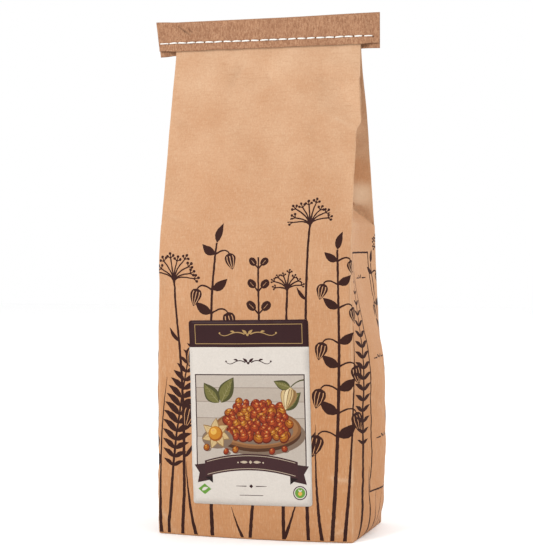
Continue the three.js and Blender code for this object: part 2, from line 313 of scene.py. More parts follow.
def tape_material():
    shader = Shader("crepe_tape", 0.85, 0.2)
    ridges = shader.noise(1.0, 3, (1, 1, 0.3))
    tone = shader.mix(shader.band(ridges, 0.35, 0.65), colour(164, 115, 84), colour(203, 154, 118))
    tone = shader.spotted(tone, colour(136, 92, 64), 1.3, 2, 0.55, 0.7, 0.6)
    tone = shader.spotted(tone, colour(230, 188, 152), 1.1, 2, 0.58, 0.72, 0.5)
    tone = shader.spotted(tone, colour(150, 104, 76), 22, 3, 0.3, 0.7, 0.3)
    # Painted shade at the needle holes and their puckers and along the deepest folds, for the shadow in them.
    tone = shader.marked(tone, colour(70, 44, 30), "hole", 0.25, 0.9)
    return shader.finish(tone, shader.bump(ridges, 0.12, shader.bump(shader.noise(0.45, 2), 0.05)))


def thread_material():
    shader = Shader("sewing_thread", 0.8, 0.2)
    tone = shader.spotted((0.86, 0.85, 0.82, 1), (0.66, 0.64, 0.6, 1), 0.5, 3, 0.3, 0.75)
    return shader.finish(tone, shader.bump(shader.noise(0.25, 2), 0.05))


def berry_material():
    shader = Shader("dried_fruit", 0.5, 0.4)
    tone = shader.spotted(colour(190, 92, 30), colour(122, 44, 18), 9, 3, 0.3, 0.7)
    tone = shader.spotted(tone, colour(224, 150, 54), 2, 3, 0.5, 0.75, 0.6)
    return shader.finish(tone, shader.bump(shader.noise(1.5, 3), 0.5))


def label_material(name, paint):
    """One printed colour of the label, a little uneven."""
    shader = Shader("label_" + name, 0.45, 0.12)
    darker = tuple(c * LABEL_MOTTLE for c in paint[:3]) + (1,)
    tone = shader.spotted(paint, darker, 1.3, 3, 0.3, 0.7)
    return shader.finish(tone, shader.bump(shader.noise(0.6, 2), 0.015))


def floor_material():
    shader = Shader("pale_floor", 0.9, 0.1)
    tone = shader.mix(shader.noise(300, 2), (0.97, 0.97, 0.97, 1), (0.955, 0.955, 0.955, 1))
    return shader.finish(tone)


# The paper tube's shape: where a place on the paper is, s mm round from the front's middle and at height z


def ease(span, value):
    f = np.clip((value - span[0]) / (span[1] - span[0]), 0, 1)
    return f * f * (3 - 2 * f)


def soft_min(a, b, softness):
    h = np.clip(0.5 + 0.5 * (b - a) / softness, 0, 1)
    return b + (a - b) * h - softness * h * (1 - h)


def half_depth(z):
    leaning = FLAT_HALF + LEAN * np.maximum(0, FLAT_FROM - z)
    tuck = BASE_TUCK * (1 - ease(BASE_TUCK_SPAN, z))
    return soft_min(leaning, SIDE_HALF + SHOULDER_EXTRA * ease(SHOULDER_SPAN, z) - tuck, DEPTH_ROUNDING)


def side_bulge(z):
    bulge = SIDE_BULGE * (1 - np.exp(-z / BULGE_RISE)) * (1 - ease(BULGE_SPAN, z))
    return bulge - SIDE_SLUMP * ease(SLUMP_SPAN, z) * (1 - ease(SLUMP_END_SPAN, z))


def front_crown(z):
    return FRONT_CROWN * (1 - ease(CROWN_SPAN, z))


def right_corner(z):
    return TUBE_WIDTH / 2 + RIGHT_SPREAD * (1 - ease(RIGHT_SPREAD_SPAN, z))


def left_corner(z):
    spread = LEFT_SPREAD * (1 - ease(LEFT_SPREAD_SPAN, z))
    return -TUBE_WIDTH / 2 - spread - LEFT_BASE_SPREAD * (1 - ease(LEFT_BASE_SPREAD_SPAN, z))


def back_shift(z):
    upper = UPPER_BACK_SHIFT * (1 - ease(UPPER_BACK_SHIFT_SPAN, z))
    return upper + BACK_SHIFT * (1 - ease(BACK_SHIFT_SPAN, z))


def corner_reach(z):
    """How far the rounding of the tube's corners runs along the paper."""
    extra = (1 - ease(CORNER_REACH_END_SPAN, z)) * ease(CORNER_REACH_SPAN, z)
    return CORNER_REACH + CORNER_EXTRA_REACH * extra


def gusset_xy(inward, z, corner):
    """The gusset's front half at a fraction of the way to its middle: x from the bag's middle, and depth."""
    depth = half_depth(z)
    flat = ease(CORNER_SPAN, z)
    corner_y = depth - (FLAT_HALF - FOLD_GAP / 2) * flat
    foot, apex = GUSSET_TRIANGLE_SPAN
    risen = np.clip((z - foot) / (apex - foot), 0, 1)
    crease_y = np.maximum(0, np.minimum((1 - risen) * SIDE_HALF, corner_y))
    fold_depth = np.sqrt(np.maximum(0, (risen * SIDE_HALF) ** 2 - (depth - crease_y) ** 2))
    on_wall = (risen > 0) & (inward <= risen)
    on_fold = (inward - risen) / np.maximum(1 - risen, 1e-6)
    along = np.where(on_wall, inward / np.maximum(risen, 1e-6), on_fold)
    along = np.clip(along, 0, 1)
    y = np.where(on_wall, corner_y + (crease_y - corner_y) * along, crease_y * (1 - along))
    y = np.maximum(y, FOLD_GAP / 2 * flat * np.clip((1 - inward) * SIDE_HALF, 0, 1))
    bulge = side_bulge(z) * (1 - (1 - inward) ** 2)
    return corner + bulge - fold_depth * np.where(on_wall, along, 1), y


def tube_xy(s, z):
    """The tube's x and y: flat panels and gussets, joined by rounded corners."""
    side = np.where(s < 0, -1.0, 1.0)
    round_way = np.abs(s)
    in_front = round_way <= QUARTER
    from_middle = np.where(in_front, round_way, HALF_ROUND - round_way)
    corner = np.where(side > 0, right_corner(z), -left_corner(z))
    middle = side * (right_corner(z) + left_corner(z)) / 2
    depth = half_depth(z)
    reach = corner_reach(z)

    def panel(way):
        across = way / PANEL_HALF
        return middle + (corner - middle) * across, depth + front_crown(z) * (1 - across**2)

    def gusset(way):
        return gusset_xy(np.clip((way - PANEL_HALF) / SIDE_HALF, 0, 1), z, corner)

    panel_x, panel_y = panel(np.minimum(from_middle, PANEL_HALF))
    side_x, side_y = gusset(from_middle)
    x = np.where(from_middle <= PANEL_HALF, panel_x, side_x)
    y = np.where(from_middle <= PANEL_HALF, panel_y, side_y)

    first_x, first_y = panel(PANEL_HALF - reach)
    last_x, last_y = gusset(PANEL_HALF + reach)
    flat = (FLAT_HALF - FOLD_GAP / 2) * ease(CORNER_SPAN, z)
    second_x = first_x + (corner - first_x) * CORNER_PULL
    second_y = first_y + (depth - first_y) * CORNER_PULL
    third_x = last_x + (corner - last_x) * CORNER_PULL
    third_y = last_y + (depth - flat - last_y) * CORNER_PULL
    u = np.clip((from_middle - PANEL_HALF + reach) / (2 * reach), 0, 1)
    near = np.abs(from_middle - PANEL_HALF) < reach

    def curve(a, b, c, d):
        return a * (1 - u) ** 3 + 3 * b * u * (1 - u) ** 2 + 3 * c * u**2 * (1 - u) + d * u**3

    x = np.where(near, curve(first_x, second_x, third_x, last_x), x)
    y = np.where(near, curve(first_y, second_y, third_y, last_y), y)

    inward = np.clip((from_middle - PANEL_HALF) / SIDE_HALF, 0, 1)
    share = np.where(in_front, inward / 2, 1 - inward / 2)
    at_edge = (side > 0) * in_front * np.exp(-(((from_middle - PANEL_HALF) / EDGE_FLARE_WIDTH) ** 2))
    flare = EDGE_FLARE * at_edge * ease(EDGE_FLARE_SPAN, z) * (1 - ease(EDGE_FLARE_END_SPAN, z))
    return side * x + back_shift(z) * share + flare, np.where(in_front, -y, y)


def tube_point(s, z):
    x, y = tube_xy(s, z)
    return np.stack([x, y, z + 0 * x], axis=-1)


def unit(v):
    return v / np.maximum(np.linalg.norm(v, axis=-1, keepdims=True), 1e-9)


def tube_normal(s, z):
    step = 0.4
    up_to = np.minimum(z + step, MOUTH_Z)
    down_to = np.maximum(z - step, 0)
    across = tube_point(s + step, z) - tube_point(s - step, z)
    along = tube_point(s, up_to) - tube_point(s, down_to)
    return unit(np.cross(across, along))


# The paper's relief


WAVE_CELLS = 128
WAVE_GAIN = 1.5


def waves(u, v, seed):
    """Smooth random waves about a unit long, from about -1 to 1."""
    angles = np.random.default_rng(seed).uniform(0, 2 * math.pi, (WAVE_CELLS, WAVE_CELLS))
    cell_u, cell_v = np.floor(u).astype(int), np.floor(v).astype(int)
    total = 0
    for du in (0, 1):
        for dv in (0, 1):
            angle = angles[(cell_u + du) % WAVE_CELLS, (cell_v + dv) % WAVE_CELLS]
            off_u, off_v = u - cell_u - du, v - cell_v - dv
            fade_u, fade_v = 1 - np.abs(off_u), 1 - np.abs(off_v)
            weight = fade_u**3 * (6 * fade_u**2 - 15 * fade_u + 10)
            weight = weight * fade_v**3 * (6 * fade_v**2 - 15 * fade_v + 10)
            total = total + weight * (np.cos(angle) * off_u + np.sin(angle) * off_v)
    return total * WAVE_GAIN


def crease(s, z, start, end, width):
    """A sharp crease from start to end: 1 on its line, fading over a width and towards its ends."""
    ds, dz = end[0] - start[0], end[1] - start[1]
    length = math.hypot(ds, dz)
    along = ((s - start[0]) * ds + (z - start[1]) * dz) / length**2
    off = np.abs((s - start[0]) * dz - (z - start[1]) * ds) / length
    ends = np.clip(4 * np.minimum(along, 1 - along), 0, 1)
    return np.exp(-off / width) * ends


def dent(s, z, middle, half_width, half_height):
    """A soft round hollow: 1 in its middle."""
    return np.exp(-(((s - middle[0]) / half_width) ** 2) - ((z - middle[1]) / half_height) ** 2)


# Creases and hollows: where they run, their width, and how far they stand out or in
CREASES = [
    ((-46, 259), (58, 263), 3.6, -1.4),
    ((-12, 412), (-32, 370), 5.0, -2.2),
    ((-12, 412), (10, 374), 5.0, -1.7),
    ((40, 382), (84, 373), 3.5, -2.2),
    ((84, 352), (36, 337), 4.0, -1.5),
    ((84, 334), (52, 352), 4.0, 0.7),
    ((79, 30), (75, 4), 2.2, 1.0),
    ((77, 12), (64, 5), 2.2, 1.1),
    ((74, 20), (58, 10), 2.6, 0.7),
    ((60, 53), (84, 50), 1.6, 1.3),
    ((-82, 24), (-62, -3), 2.2, 0.9),
    ((84, 275), (56, 265), 3.0, -1.3),
    ((-84, 214), (-56, 202), 3.8, -1.0),
    ((-84, 270), (-52, 260), 3.4, -1.6),
    ((-84, 352), (-58, 344), 4.0, -1.2),
    ((30, 225), (52, 196), 3.0, -0.4),
    ((84, 270), (126, 273), 2.6, -1.6),
    ((126, 273), (170, 270), 2.6, -1.6),
    ((100, 120), (150, 96), 6.0, -0.9),
    ((96, 60), (128, 14), 5.0, -0.9),
    ((156, 56), (130, 12), 5.0, -0.9),
    ((-92, 272), (-166, 270), 2.6, -1.4),
    ((-150, 120), (-100, 92), 6.0, -0.9),
    ((-160, 50), (-128, 10), 5.0, -0.9),
    ((190, 268), (246, 262), 4.0, -0.9),
    ((-196, 262), (-244, 266), 4.0, -0.8),
    ((196, 372), (236, 356), 4.0, -1.0),
    ((-200, 350), (-238, 374), 4.0, -0.9),
    ((180, 40), (214, 6), 3.0, 0.8),
    ((-176, 36), (-206, 6), 3.0, 0.8),
]
DENTS = [
    ((65, 367), 18, 13, -4.0),
    ((62, 392), 20, 9, 1.5),
    ((60, 347), 22, 9, 1.2),
    ((-12, 391), 18, 13, -4.2),
    ((-52, 388), 22, 14, 0.8),
    ((-72, 209), 13, 11, -2.0),
    ((66, 300), 22, 30, -1.3),
    ((-40, 332), 28, 24, 1.2),
    ((16, 322), 22, 32, -1.0),
    ((-64, 288), 15, 18, -1.4),
    ((40, 246), 26, 12, 0.8),
    ((-30, 232), 24, 16, 0.7),
    ((104, 262), 24, 7, 1.6),
    ((150, 262), 22, 7, 1.4),
    ((-126, 262), 34, 7, 1.3),
    ((126, 180), 24, 30, -1.2),
    ((212, 330), 26, 30, -1.2),
    ((-214, 300), 26, 26, 1.0),
    ((216, 180), 30, 40, -1.0),
]


# Folds in the gussets that swell downwards and then drop: way round, half width, top, foot, how tall
LEDGES = [
    (152, 17, 356, 337, 4.2),
    (150, 18, 300, 278, 3.8),
    (98, 15, 330, 306, 2.8),
    (-156, 12, 340, 318, 2.6),
    (-100, 13, 362, 340, 2.8),
    (-98, 13, 300, 275, 3.2),
]
LEDGE_DROP = 5
LEDGE_SLANT = 0.25


def ledge(s, z, way, half_width, top, low, tall):
    across = ease((half_width, 0), np.abs(s - way - LEDGE_SLANT * (z - low)))
    swell = ease((top, low), z) * ease((low - LEDGE_DROP, low), z)
    return tall * across * swell


# The seam along the back, where the paper's edge is glued down over itself
SEAM_HIDDEN_EDGE = HALF_ROUND - 12
SEAM_CUT_EDGE = HALF_ROUND - 3
SEAM_STEP = 0.4
SEAM_HEIGHT = 0.35
SEAM_SLOPE = 4


def seam(s):
    hidden = ease((SEAM_HIDDEN_EDGE - SEAM_SLOPE, SEAM_HIDDEN_EDGE), s)
    cut = ease((SEAM_CUT_EDGE - SEAM_STEP, SEAM_CUT_EDGE), -s)
    return SEAM_HEIGHT * (hidden + cut)


# The paper's soft waves: how tall, how long round the tube and upwards, and their seed
ROLLS = [(1.0, 46, 52, 3), (0.5, 21, 26, 5)]

# Its sharper ridges: how tall, how long round the tube and upwards, how far moved round, and their seed
RIDGES = [(0.55, 30, 24, 3, 7), (0.22, 12, 13, 7, 9)]
RIDGE_LEVEL = 0.3

# The filling's berries pressing through, and where the relief dies away
BERRY_LUMP = 0.35
BERRY_LENGTH = 9
BERRY_SPAN = (250, 225)
MOUTH_CALM_SPAN = (FLAT_FROM, 385)
BASE_CALM_SPAN = (0, 9)
SEAM_CALM_SPAN = (0, 14)
CORNER_CALM_SPAN = (0, 9)
CORNER_SHARE = 0.3


def relief(s, z):
    """How far the paper stands out from the tube's plain shape."""
    height = 0
    for tall, across, up, seed in ROLLS:
        height = height + tall * waves(s / across, z / up, seed)
    for tall, across, up, moved, seed in RIDGES:
        height = height + tall * (RIDGE_LEVEL - np.abs(waves(s / across + moved, z / up, seed)))
    berries = np.maximum(0, waves(s / BERRY_LENGTH, z / BERRY_LENGTH, 11))
    height = height + berries * ease(BERRY_SPAN, z) * BERRY_LUMP
    for start, end, width, tall in CREASES:
        height = height + tall * crease(s, z, start, end, width)
    for middle, half_width, half_height, tall in DENTS:
        height = height + tall * dent(s, z, middle, half_width, half_height)
    near_seam = ease(SEAM_CALM_SPAN, HALF_ROUND - np.abs(s))
    front_off = np.abs(np.abs(s) - PANEL_HALF)
    back_off = np.abs(HALF_ROUND - np.abs(s) - PANEL_HALF)
    off_corner = ease(CORNER_CALM_SPAN, np.minimum(front_off, back_off))
    near_corner = CORNER_SHARE + (1 - CORNER_SHARE) * off_corner
    height = height * near_seam * near_corner + seam(s)
    for fold in LEDGES:
        height = height + ledge(s, z, *fold)
    return height * ease(MOUTH_CALM_SPAN, z) * ease(BASE_CALM_SPAN, z)


# Places in the right gusset with a painted highlight on a lit facet, and painted warm shade in the fold: way
# round, half width, height, half height
PAINTED_HIGHLIGHT_PATCH = (152, 19, 284, 10)
PAINTED_SHADE_PATCH = (152, 24, 305, 12)

# How much of the lighter tone shows on the painted highlight, on corners and on hollows, and how tall a ridge
# has all of it
PAINTED_HIGHLIGHT_SHARE = 0.7
RUBBED_CORNER = 0.7
RUBBED_HOLLOW = 0.3
RUBBED_TALL = 1.3
RUBBED_WIDTH = 1.2
RUBBED_CORNER_WIDTH = 0.8


def patch(s, z, place):
    """1 within a patch, falling off at its edge."""
    way, half_width, height, half_height = place
    return np.exp(-(((s - way) / half_width) ** 4) - ((z - height) / half_height) ** 4)


def rubbed_creases_and_painted_highlight(s, z):
    """Where the paper is lighter, from 0 to 1: rubbed along its creases and corners, with a painted highlight
    on a lit facet of the right gusset.
    """
    rubbed = 0 * s
    for start, end, width, tall in CREASES:
        share = min(1, tall / RUBBED_TALL) if tall > 0 else RUBBED_HOLLOW
        rubbed = rubbed + share * crease(s, z, start, end, RUBBED_WIDTH)
    for way in (PANEL_HALF, HALF_ROUND - PANEL_HALF):
        rubbed = rubbed + RUBBED_CORNER * np.exp(-np.abs(np.abs(s) - way) / RUBBED_CORNER_WIDTH)
    rubbed = np.clip(rubbed, 0, 1) * (0.6 + 0.4 * waves(s / 5, z / 9, 41))
    # A painted highlight on the right gusset's lit facet.
    return np.clip(rubbed + PAINTED_HIGHLIGHT_SHARE * patch(s, z, PAINTED_HIGHLIGHT_PATCH), 0, 1)


def skin(s, z, lift=0.0):
    """The paper's outer face, or a place off it along its normal."""
    s, z = np.asarray(s, float), np.asarray(z, float)
    normal = tube_normal(s, z)
    rounding = BASE_RADIUS - np.sqrt(BASE_RADIUS**2 - np.maximum(0, BASE_RADIUS - z) ** 2)
    point = tube_point(s, z)
    flat_normal = unit(normal * np.array([1, 1, 0]))
    return point + normal * (relief(s, z) + lift)[..., None] - flat_normal * rounding[..., None]


# Mesh helpers

OUTLINE_STEP = 1.8
WELD_DISTANCE = 2e-4


def make_piece(name, points, faces, materials, kinds=None):
    """A mesh in metres from points in mm. kinds gives each face's material."""
    mesh = bpy.data.meshes.new(name)
    mesh.from_pydata((np.asarray(points) * MM).tolist(), [], [list(map(int, face)) for face in faces])
    for material in materials:
        mesh.materials.append(material)
    mesh.polygons.foreach_set("use_smooth", [True] * len(mesh.polygons))
    if kinds is not None:
        mesh.polygons.foreach_set("material_index", kinds)
    mesh.update()
    piece = bpy.data.objects.new(name, mesh)
    bpy.context.collection.objects.link(piece)
    return piece


def mark_points(piece, name, values):
    """Gives each point of a piece a value that its material reads."""
    attribute = piece.data.attributes.new(name, "FLOAT", "POINT")
    attribute.data.foreach_set("value", values)


def anticlockwise(outline):
    outline = np.asarray(outline, float)
    x, y = outline.T
    turn = np.sum(x * np.roll(y, -1) - y * np.roll(x, -1))
    return outline if turn > 0 else outline[::-1]


def dense(outline, size):
    """The same closed outline with points at most a size apart."""
    points = []
    for a, b in zip(outline, np.roll(outline, -1, axis=0)):
        count = max(1, math.ceil(np.linalg.norm(b - a) / size))
        points += [a + (b - a) * i / count for i in range(count)]
    return points


def fill_flat(grid, outlines, lines=()):
    """Triangles over a flat patch. Returns its points, its triangles and the last outline holding each."""
    points = [Vector(p) for p in grid]
    loops = []
    for outline in outlines:
        outline = dense(anticlockwise(outline), OUTLINE_STEP)
        loops.append(list(range(len(points), len(points) + len(outline))))
        points.extend(Vector(p) for p in outline)
    edges = []
    for line in lines:
        first = len(points)
        points.extend(Vector(p) for p in line)
        edges.extend((first + i, first + i + 1) for i in range(len(line) - 1))
    made = delaunay_2d_cdt(points, edges, loops, 0, 1e-5, True)
    places, _, triangles, _, _, owners = made
    flat = np.array([tuple(place) for place in places])
    triangles = np.array(triangles)
    holders = np.array([max(owner) if owner else -1 for owner in owners])
    a, b, c = (flat[triangles[:, i]] for i in range(3))
    area = (b[:, 0] - a[:, 0]) * (c[:, 1] - a[:, 1]) - (b[:, 1] - a[:, 1]) * (c[:, 0] - a[:, 0])
    triangles[area < 0] = triangles[area < 0][:, ::-1]
    keep = np.abs(area) > 1e-9
    return flat, triangles[keep], holders[keep]


def weld(points, faces):
    """Which points to keep, as one of all that lie at the same place, and the faces between those."""
    keys = np.round(points / WELD_DISTANCE).astype(np.int64)
    _, kept, inverse = np.unique(keys, axis=0, return_index=True, return_inverse=True)
    inverse = inverse.reshape(-1)
    return kept, [[int(inverse[i]) for i in face] for face in faces]


class Shell:
    """Patches gathered into one mesh, with the number of each face's material."""

    def __init__(self):
        self.points = np.zeros((0, 3))
        self.faces = []
        self.kinds = []

    def add(self, points, faces, kinds=None, flipped=False):
        """Adds a patch and returns the number of its first point."""
        first = len(self.points)
        self.points = np.concatenate([self.points, points])
        self.faces += [[first + i for i in (face[::-1] if flipped else face)] for face in faces]
        self.kinds += kinds or [0] * len(faces)
        return first


def row_at(flat, height):
    """The points of a flat patch at a height, from left to right."""
    row = np.flatnonzero(np.abs(flat[:, 1] - height) < 1e-6)
    return row[np.argsort(flat[row, 0], kind="stable")]


def ring_faces(rings, count):
    """The faces between rings of a count of points, each above the last."""
    faces = []
    for i in range(rings - 1):
        for j in range(count):
            k = (j + 1) % count
            faces.append([i * count + j, i * count + k, (i + 1) * count + k, (i + 1) * count + j])
    return faces


def steps(start, end, size):
    count = max(1, round(abs(end - start) / size))
    return list(np.linspace(start, end, count + 1))


# Outlines for the print and the label's picture. Each is a list of points in mm


def bent(start, middle, end, count):
    """A curve from start to end, pulled towards middle."""
    t = np.linspace(0, 1, count)[:, None]
    a, b, c = np.array(start, float), np.array(middle, float), np.array(end, float)
    return a * (1 - t) ** 2 + 2 * b * t * (1 - t) + c * t**2


def stroke(route, first_width, last_width):
    """The outline of a line along a route, whose width changes evenly."""
    route = np.asarray(route, float)
    along = np.gradient(route, axis=0)
    along = along / np.linalg.norm(along, axis=1, keepdims=True)
    aside = np.stack([-along[:, 1], along[:, 0]], axis=1)
    half = np.linspace(first_width, last_width, len(route))[:, None] / 2
    return np.concatenate([route + aside * half, (route - aside * half)[::-1]])


def between(x, low, high):
    """The outline between two curves over the same x that meet at their ends."""
    upper = np.stack([x, high], axis=1)
    lower = np.stack([x, low], axis=1)[1:-1][::-1]
    return np.concatenate([upper, lower])


def rectangle(left, low, right, high):
    return [(left, low), (right, low), (right, high), (left, high)]


def turned(shape, place, angle):
    """A shape drawn along +X, moved to a place and turned."""
    cos, sin = math.cos(angle), math.sin(angle)
    x, y = np.asarray(shape, float).T
    return np.stack([x * cos - y * sin, x * sin + y * cos], axis=1) + place


def leaf(place, angle, length, width, bow=0.0, count=7):
    """A pointed leaf from its foot. bow bends it to one side."""
    t = np.linspace(0, 1, count)
    half = width / 2 * np.sin(math.pi * t**0.8)
    bend = bow * length * t * (1 - t) * 2
    return turned(between(t * length, bend - half, bend + half), place, angle)


def disc(place, radius, count=9, flatten=1.0, angle=0.0):
    t = np.arange(count) * 2 * math.pi / count
    return turned(np.stack([radius * np.cos(t), radius * flatten * np.sin(t)], axis=1), place, angle)


def husk_half(t, width):
    """Half the width of a hanging husk on its way down."""
    return width * np.sin(math.pi * t**0.72) ** 0.75 * (1 - 0.25 * t)


def husk(place, angle, size):
    """A berry's papery lantern, hanging from its foot: the outline and its light ribs."""
    t = np.linspace(0, 1, 12)
    half = husk_half(t, size * 0.36)
    parts = [("ink", turned(between(t * size, -half, half), place, angle))]
    for tilt in (-0.5, 0.0, 0.5):
        rib = np.stack([t[2:-1] * size, tilt * half[2:-1] * 1.15], axis=1)
        parts.append(("paper", turned(stroke(rib, 0.75, 0.45), place, angle)))
    return parts


def direction(angle):
    return np.array([math.cos(angle), math.sin(angle)])


def leaning(foot, top, lean, count):
    """A route from foot to top that leans to one side on its way."""
    return bent(foot, ((foot[0] + top[0]) / 2 + lean, (foot[1] + top[1]) / 2), top, count)


def umbel(foot, top, lean, rays, ray_length):
    """A stem with a flat head of small flowers."""
    stem = leaning(foot, top, lean, 14)
    parts = [("ink", stroke(stem, 2.9, 1.7))]
    for i in range(rays):
        angle = math.radians(158 - 136 * i / (rays - 1)) - 0.02 * lean
        uneven = 0.1 * math.sin(2.3 * i + top[0])
        length = ray_length * (0.8 + uneven + 0.2 * math.sin(math.pi * i / (rays - 1)))
        tip = np.array(top) + direction(angle) * length
        parts.append(("ink", stroke(bent(top, np.array(top) + (0, length * 0.45), tip, 6), 1.5, 1.1)))
        for k in (-1, 0, 1):
            dot = tip + direction(angle + 0.95 * k) * ray_length * (0.15 + 0.03 * (k == 0))
            parts.append(("ink", stroke([tip, dot], 1.0, 0.8)))
            parts.append(("ink", disc(dot, ray_length * 0.062, 7)))
    for side in (1, -1):
        low, angle = stem[len(stem) // 2 + 3 * side], math.pi / 2 + side * 0.6
        parts.append(("ink", leaf(low, angle, ray_length * 0.7, ray_length * 0.16, side * 0.1)))
    return parts


def fern(foot, top, lean, pairs, length):
    """A frond with leaflets that shorten towards its tip."""
    stem = leaning(foot, top, lean, 30)
    parts = [("ink", stroke(stem, 2.8, 0.9))]
    for i in range(pairs):
        f = 0.34 + 0.64 * i / (pairs - 1)
        index = f * (len(stem) - 1)
        low = int(min(index, len(stem) - 2))
        place = stem[low] + (stem[low + 1] - stem[low]) * (index - low)
        heading = math.atan2(*(stem[low + 1] - stem[low])[::-1])
        size = length * math.sin(math.pi * (0.22 + 0.74 * i / (pairs - 1)))
        for side in (1, -1):
            parts.append(("ink", leaf(place, heading + side * 1.0, size, size * 0.33, side * -0.12, 6)))
    return parts


def round_twig(foot, top, lean, pairs, size):
    """A twig with round leaves on short stalks."""
    stem = leaning(foot, top, lean, 26)
    parts = [("ink", stroke(stem, 2.9, 1.4))]
    for i in range(pairs):
        f = 0.3 + 0.66 * i / (pairs - 1)
        place = stem[int(f * (len(stem) - 1))]
        grown = size * (1.1 - 0.55 * i / (pairs - 1))
        for side in (1, -1):
            angle = math.pi / 2 + side * (1.0 - 0.3 * f)
            ahead = direction(angle) * grown
            middle = place + ahead * 1.35
            parts.append(("ink", stroke([place, middle], 1.3, 1.2)))
            parts.append(("ink", disc(middle, grown * 0.7, 12, 0.78, angle)))
            parts.append(("paper", stroke([middle - ahead * 0.4, middle + ahead * 0.3], 0.4, 0.3)))
    return parts


def lantern_sprig(foot, top, lean, count, size, first_side=1):
    """An arching stem with husks that hang and leaves that rise, by turns."""
    stem = leaning(foot, top, lean, 26)
    parts = [("ink", stroke(stem, 3.3, 1.6))]
    for i in range(count):
        f = 0.36 + 0.62 * i / (count - 1)
        place = stem[int(f * (len(stem) - 1))]
        side = first_side * (1 if i % 2 == 0 else -1)
        grown = size * (1.08 - 0.35 * i / (count - 1))
        hook = place + np.array([side * grown * 0.55, grown * 0.28])
        drop = hook + np.array([side * grown * 0.22, -grown * 0.2])
        parts.append(("ink", stroke(bent(place, hook + (0, grown * 0.12), drop, 8), 1.5, 1.2)))
        parts += husk(drop, math.radians(-90 + side * 14), grown * 0.92)
        leaf_angle = math.pi / 2 + side * 0.95
        parts.append(("ink", leaf(place, leaf_angle, grown * 0.95, grown * 0.46, side * 0.12)))
    parts.append(("ink", leaf(stem[-1], math.pi / 2 - 0.25, size * 0.8, size * 0.3, 0.1)))
    return parts


def blade(foot, tip, lean, width):
    """A long blade of grass."""
    return [("ink", stroke(leaning(foot, tip, lean, 20), width, 0.3))]


def hand_cut(outline):
    """The outline with the small unevenness of a block print."""
    points = np.array(dense(outline, HAND_CUT_STEP))
    u, v = points.T / HAND_CUT_LENGTH
    moved = points + HAND_CUT * np.stack([waves(u, v, 51), waves(u, v, 52)], axis=1)
    moved[:, 1] = np.maximum(moved[:, 1], PRINT_LOW)
    return moved


def frame_box(left, low, right, high, width):
    """A plain frame line round a box."""
    return [
        ("ink", rectangle(left, low, right, high)),
        ("paper", rectangle(left + width, low + width, right - width, high - width)),
    ]


def divider(middle, half):
    """Two short rules with a small leaf pair and a dot between them."""
    parts = []
    for side in (1, -1):
        rule = [middle + (side * half * 0.42, 0), middle + (side * half, 0)]
        angle = math.pi / 2 - side * 1.1
        parts.append(("ink", stroke(rule, 1.4, 0.7)))
        parts.append(("ink", leaf(middle + (side * 1.4, 0), angle, half * 0.34, half * 0.14)))
    parts.append(("ink", disc(middle + (0, 0.2), 1.0, 8)))
    return parts


PRINT_FOOT = 0.7
PRINT_LOW = 1.2
HAND_CUT = 0.25
HAND_CUT_LENGTH = 3.2
HAND_CUT_STEP = 1.5
PRINT_FRAME = (103, 38, 156, 236)
FRAME_LINE = 1.5
DIVIDER_HEIGHTS = (214, 148, 82)
DIVIDER_MIDDLE = 129.5
DIVIDER_HALF = 17

# The printed plants: kind, way round the tube at foot and top, height, lean, and the kind's own sizes
PLANTS = [
    # The front, from left to right
    (blade, -79, -74, 132, -7, 3.4),
    (umbel, -60, -67, 210, 8, 9, 21),
    (fern, -72, -50, 168, -9, 16, 17),
    (blade, -48, -57, 62, -4, 3.2),
    (lantern_sprig, -34, -30, 244, -8, 7, 21),
    (blade, -8, -18, 26, -1, 2.6),
    (round_twig, -2, 6, 232, 6, 10, 10),
    (umbel, 26, 30, 204, -3, 8, 14),
    (blade, 26, 38, 40, 2, 3.0),
    (umbel, 46, 47, 256, -5, 9, 19),
    (lantern_sprig, 65, 70, 238, 6, 8, 19, -1),
    (blade, 57, 52, 96, -4, 3.0),
    (blade, 75, 84, 176, 4, 3.0),
    # The right side
    (fern, 93, 98, 232, -4, 18, 12),
    (lantern_sprig, 163, 160, 226, 4, 7, 15),
    (blade, 118, 115, 39, -1, 2.4),
    (blade, 124, 127, 39, 1, 2.2),
    (blade, 108, 101, 60, -3, 2.6),
    (blade, 140, 146, 36, 3, 2.6),
    # The back
    (umbel, 186, 182, 236, -6, 9, 18),
    (fern, 202, 206, 206, 8, 18, 17),
    (lantern_sprig, 226, 222, 250, -7, 8, 20, -1),
    (blade, 212, 196, 92, -3, 3.2),
    (blade, 238, 243, 120, 5, 3.2),
    (umbel, -236, -238, 196, 6, 8, 13),
    (round_twig, -216, -220, 238, -6, 10, 10),
    (lantern_sprig, -190, -186, 222, 8, 7, 20),
    (blade, -202, -206, 74, -4, 3.2),
    (blade, -228, -222, 96, 4, 3.0),
    # The left side
    (fern, -160, -156, 214, 7, 18, 16),
    (umbel, -138, -142, 250, -5, 9, 17),
    (lantern_sprig, -116, -112, 226, 7, 7, 19, -1),
    (round_twig, -94, -97, 190, -4, 8, 9),
    (blade, -150, -146, 84, 4, 3.2),
    (blade, -104, -109, 110, -3, 3.0),
]


def bag_print():
    """An empty frame and the plants round the bag, as (colour, outline), later ones on top."""
    parts = frame_box(*PRINT_FRAME, FRAME_LINE)
    for height in DIVIDER_HEIGHTS:
        parts += divider(np.array([DIVIDER_MIDDLE, height]), DIVIDER_HALF)
    for kind, foot, top, height, lean, *sizes in PLANTS:
        parts += kind((foot, PRINT_FOOT), (top, height), lean, *sizes)
    return [(paint, hand_cut(outline)) for paint, outline in parts]


# The bag

# The skin's grid: rows near the floor and their step above, columns beside a corner and their steps elsewhere
LOWEST_ROWS = [0, 0.12, 0.45, 1, 2]
FIRST_EVEN_ROW = 3.8
ROW = 2.15
CORNER_COLUMNS = [0, 0.5, 1.0, 1.6, 2.4, 3.4]
FRONT_COLUMN = 1.7
SIDE_COLUMN = 1.9
BACK_COLUMN = 2.6

# The inner wall: how deep it lies, and its coarser grid
WALL = 0.45
INNER_SHARE = 3
INNER_ROW = 6


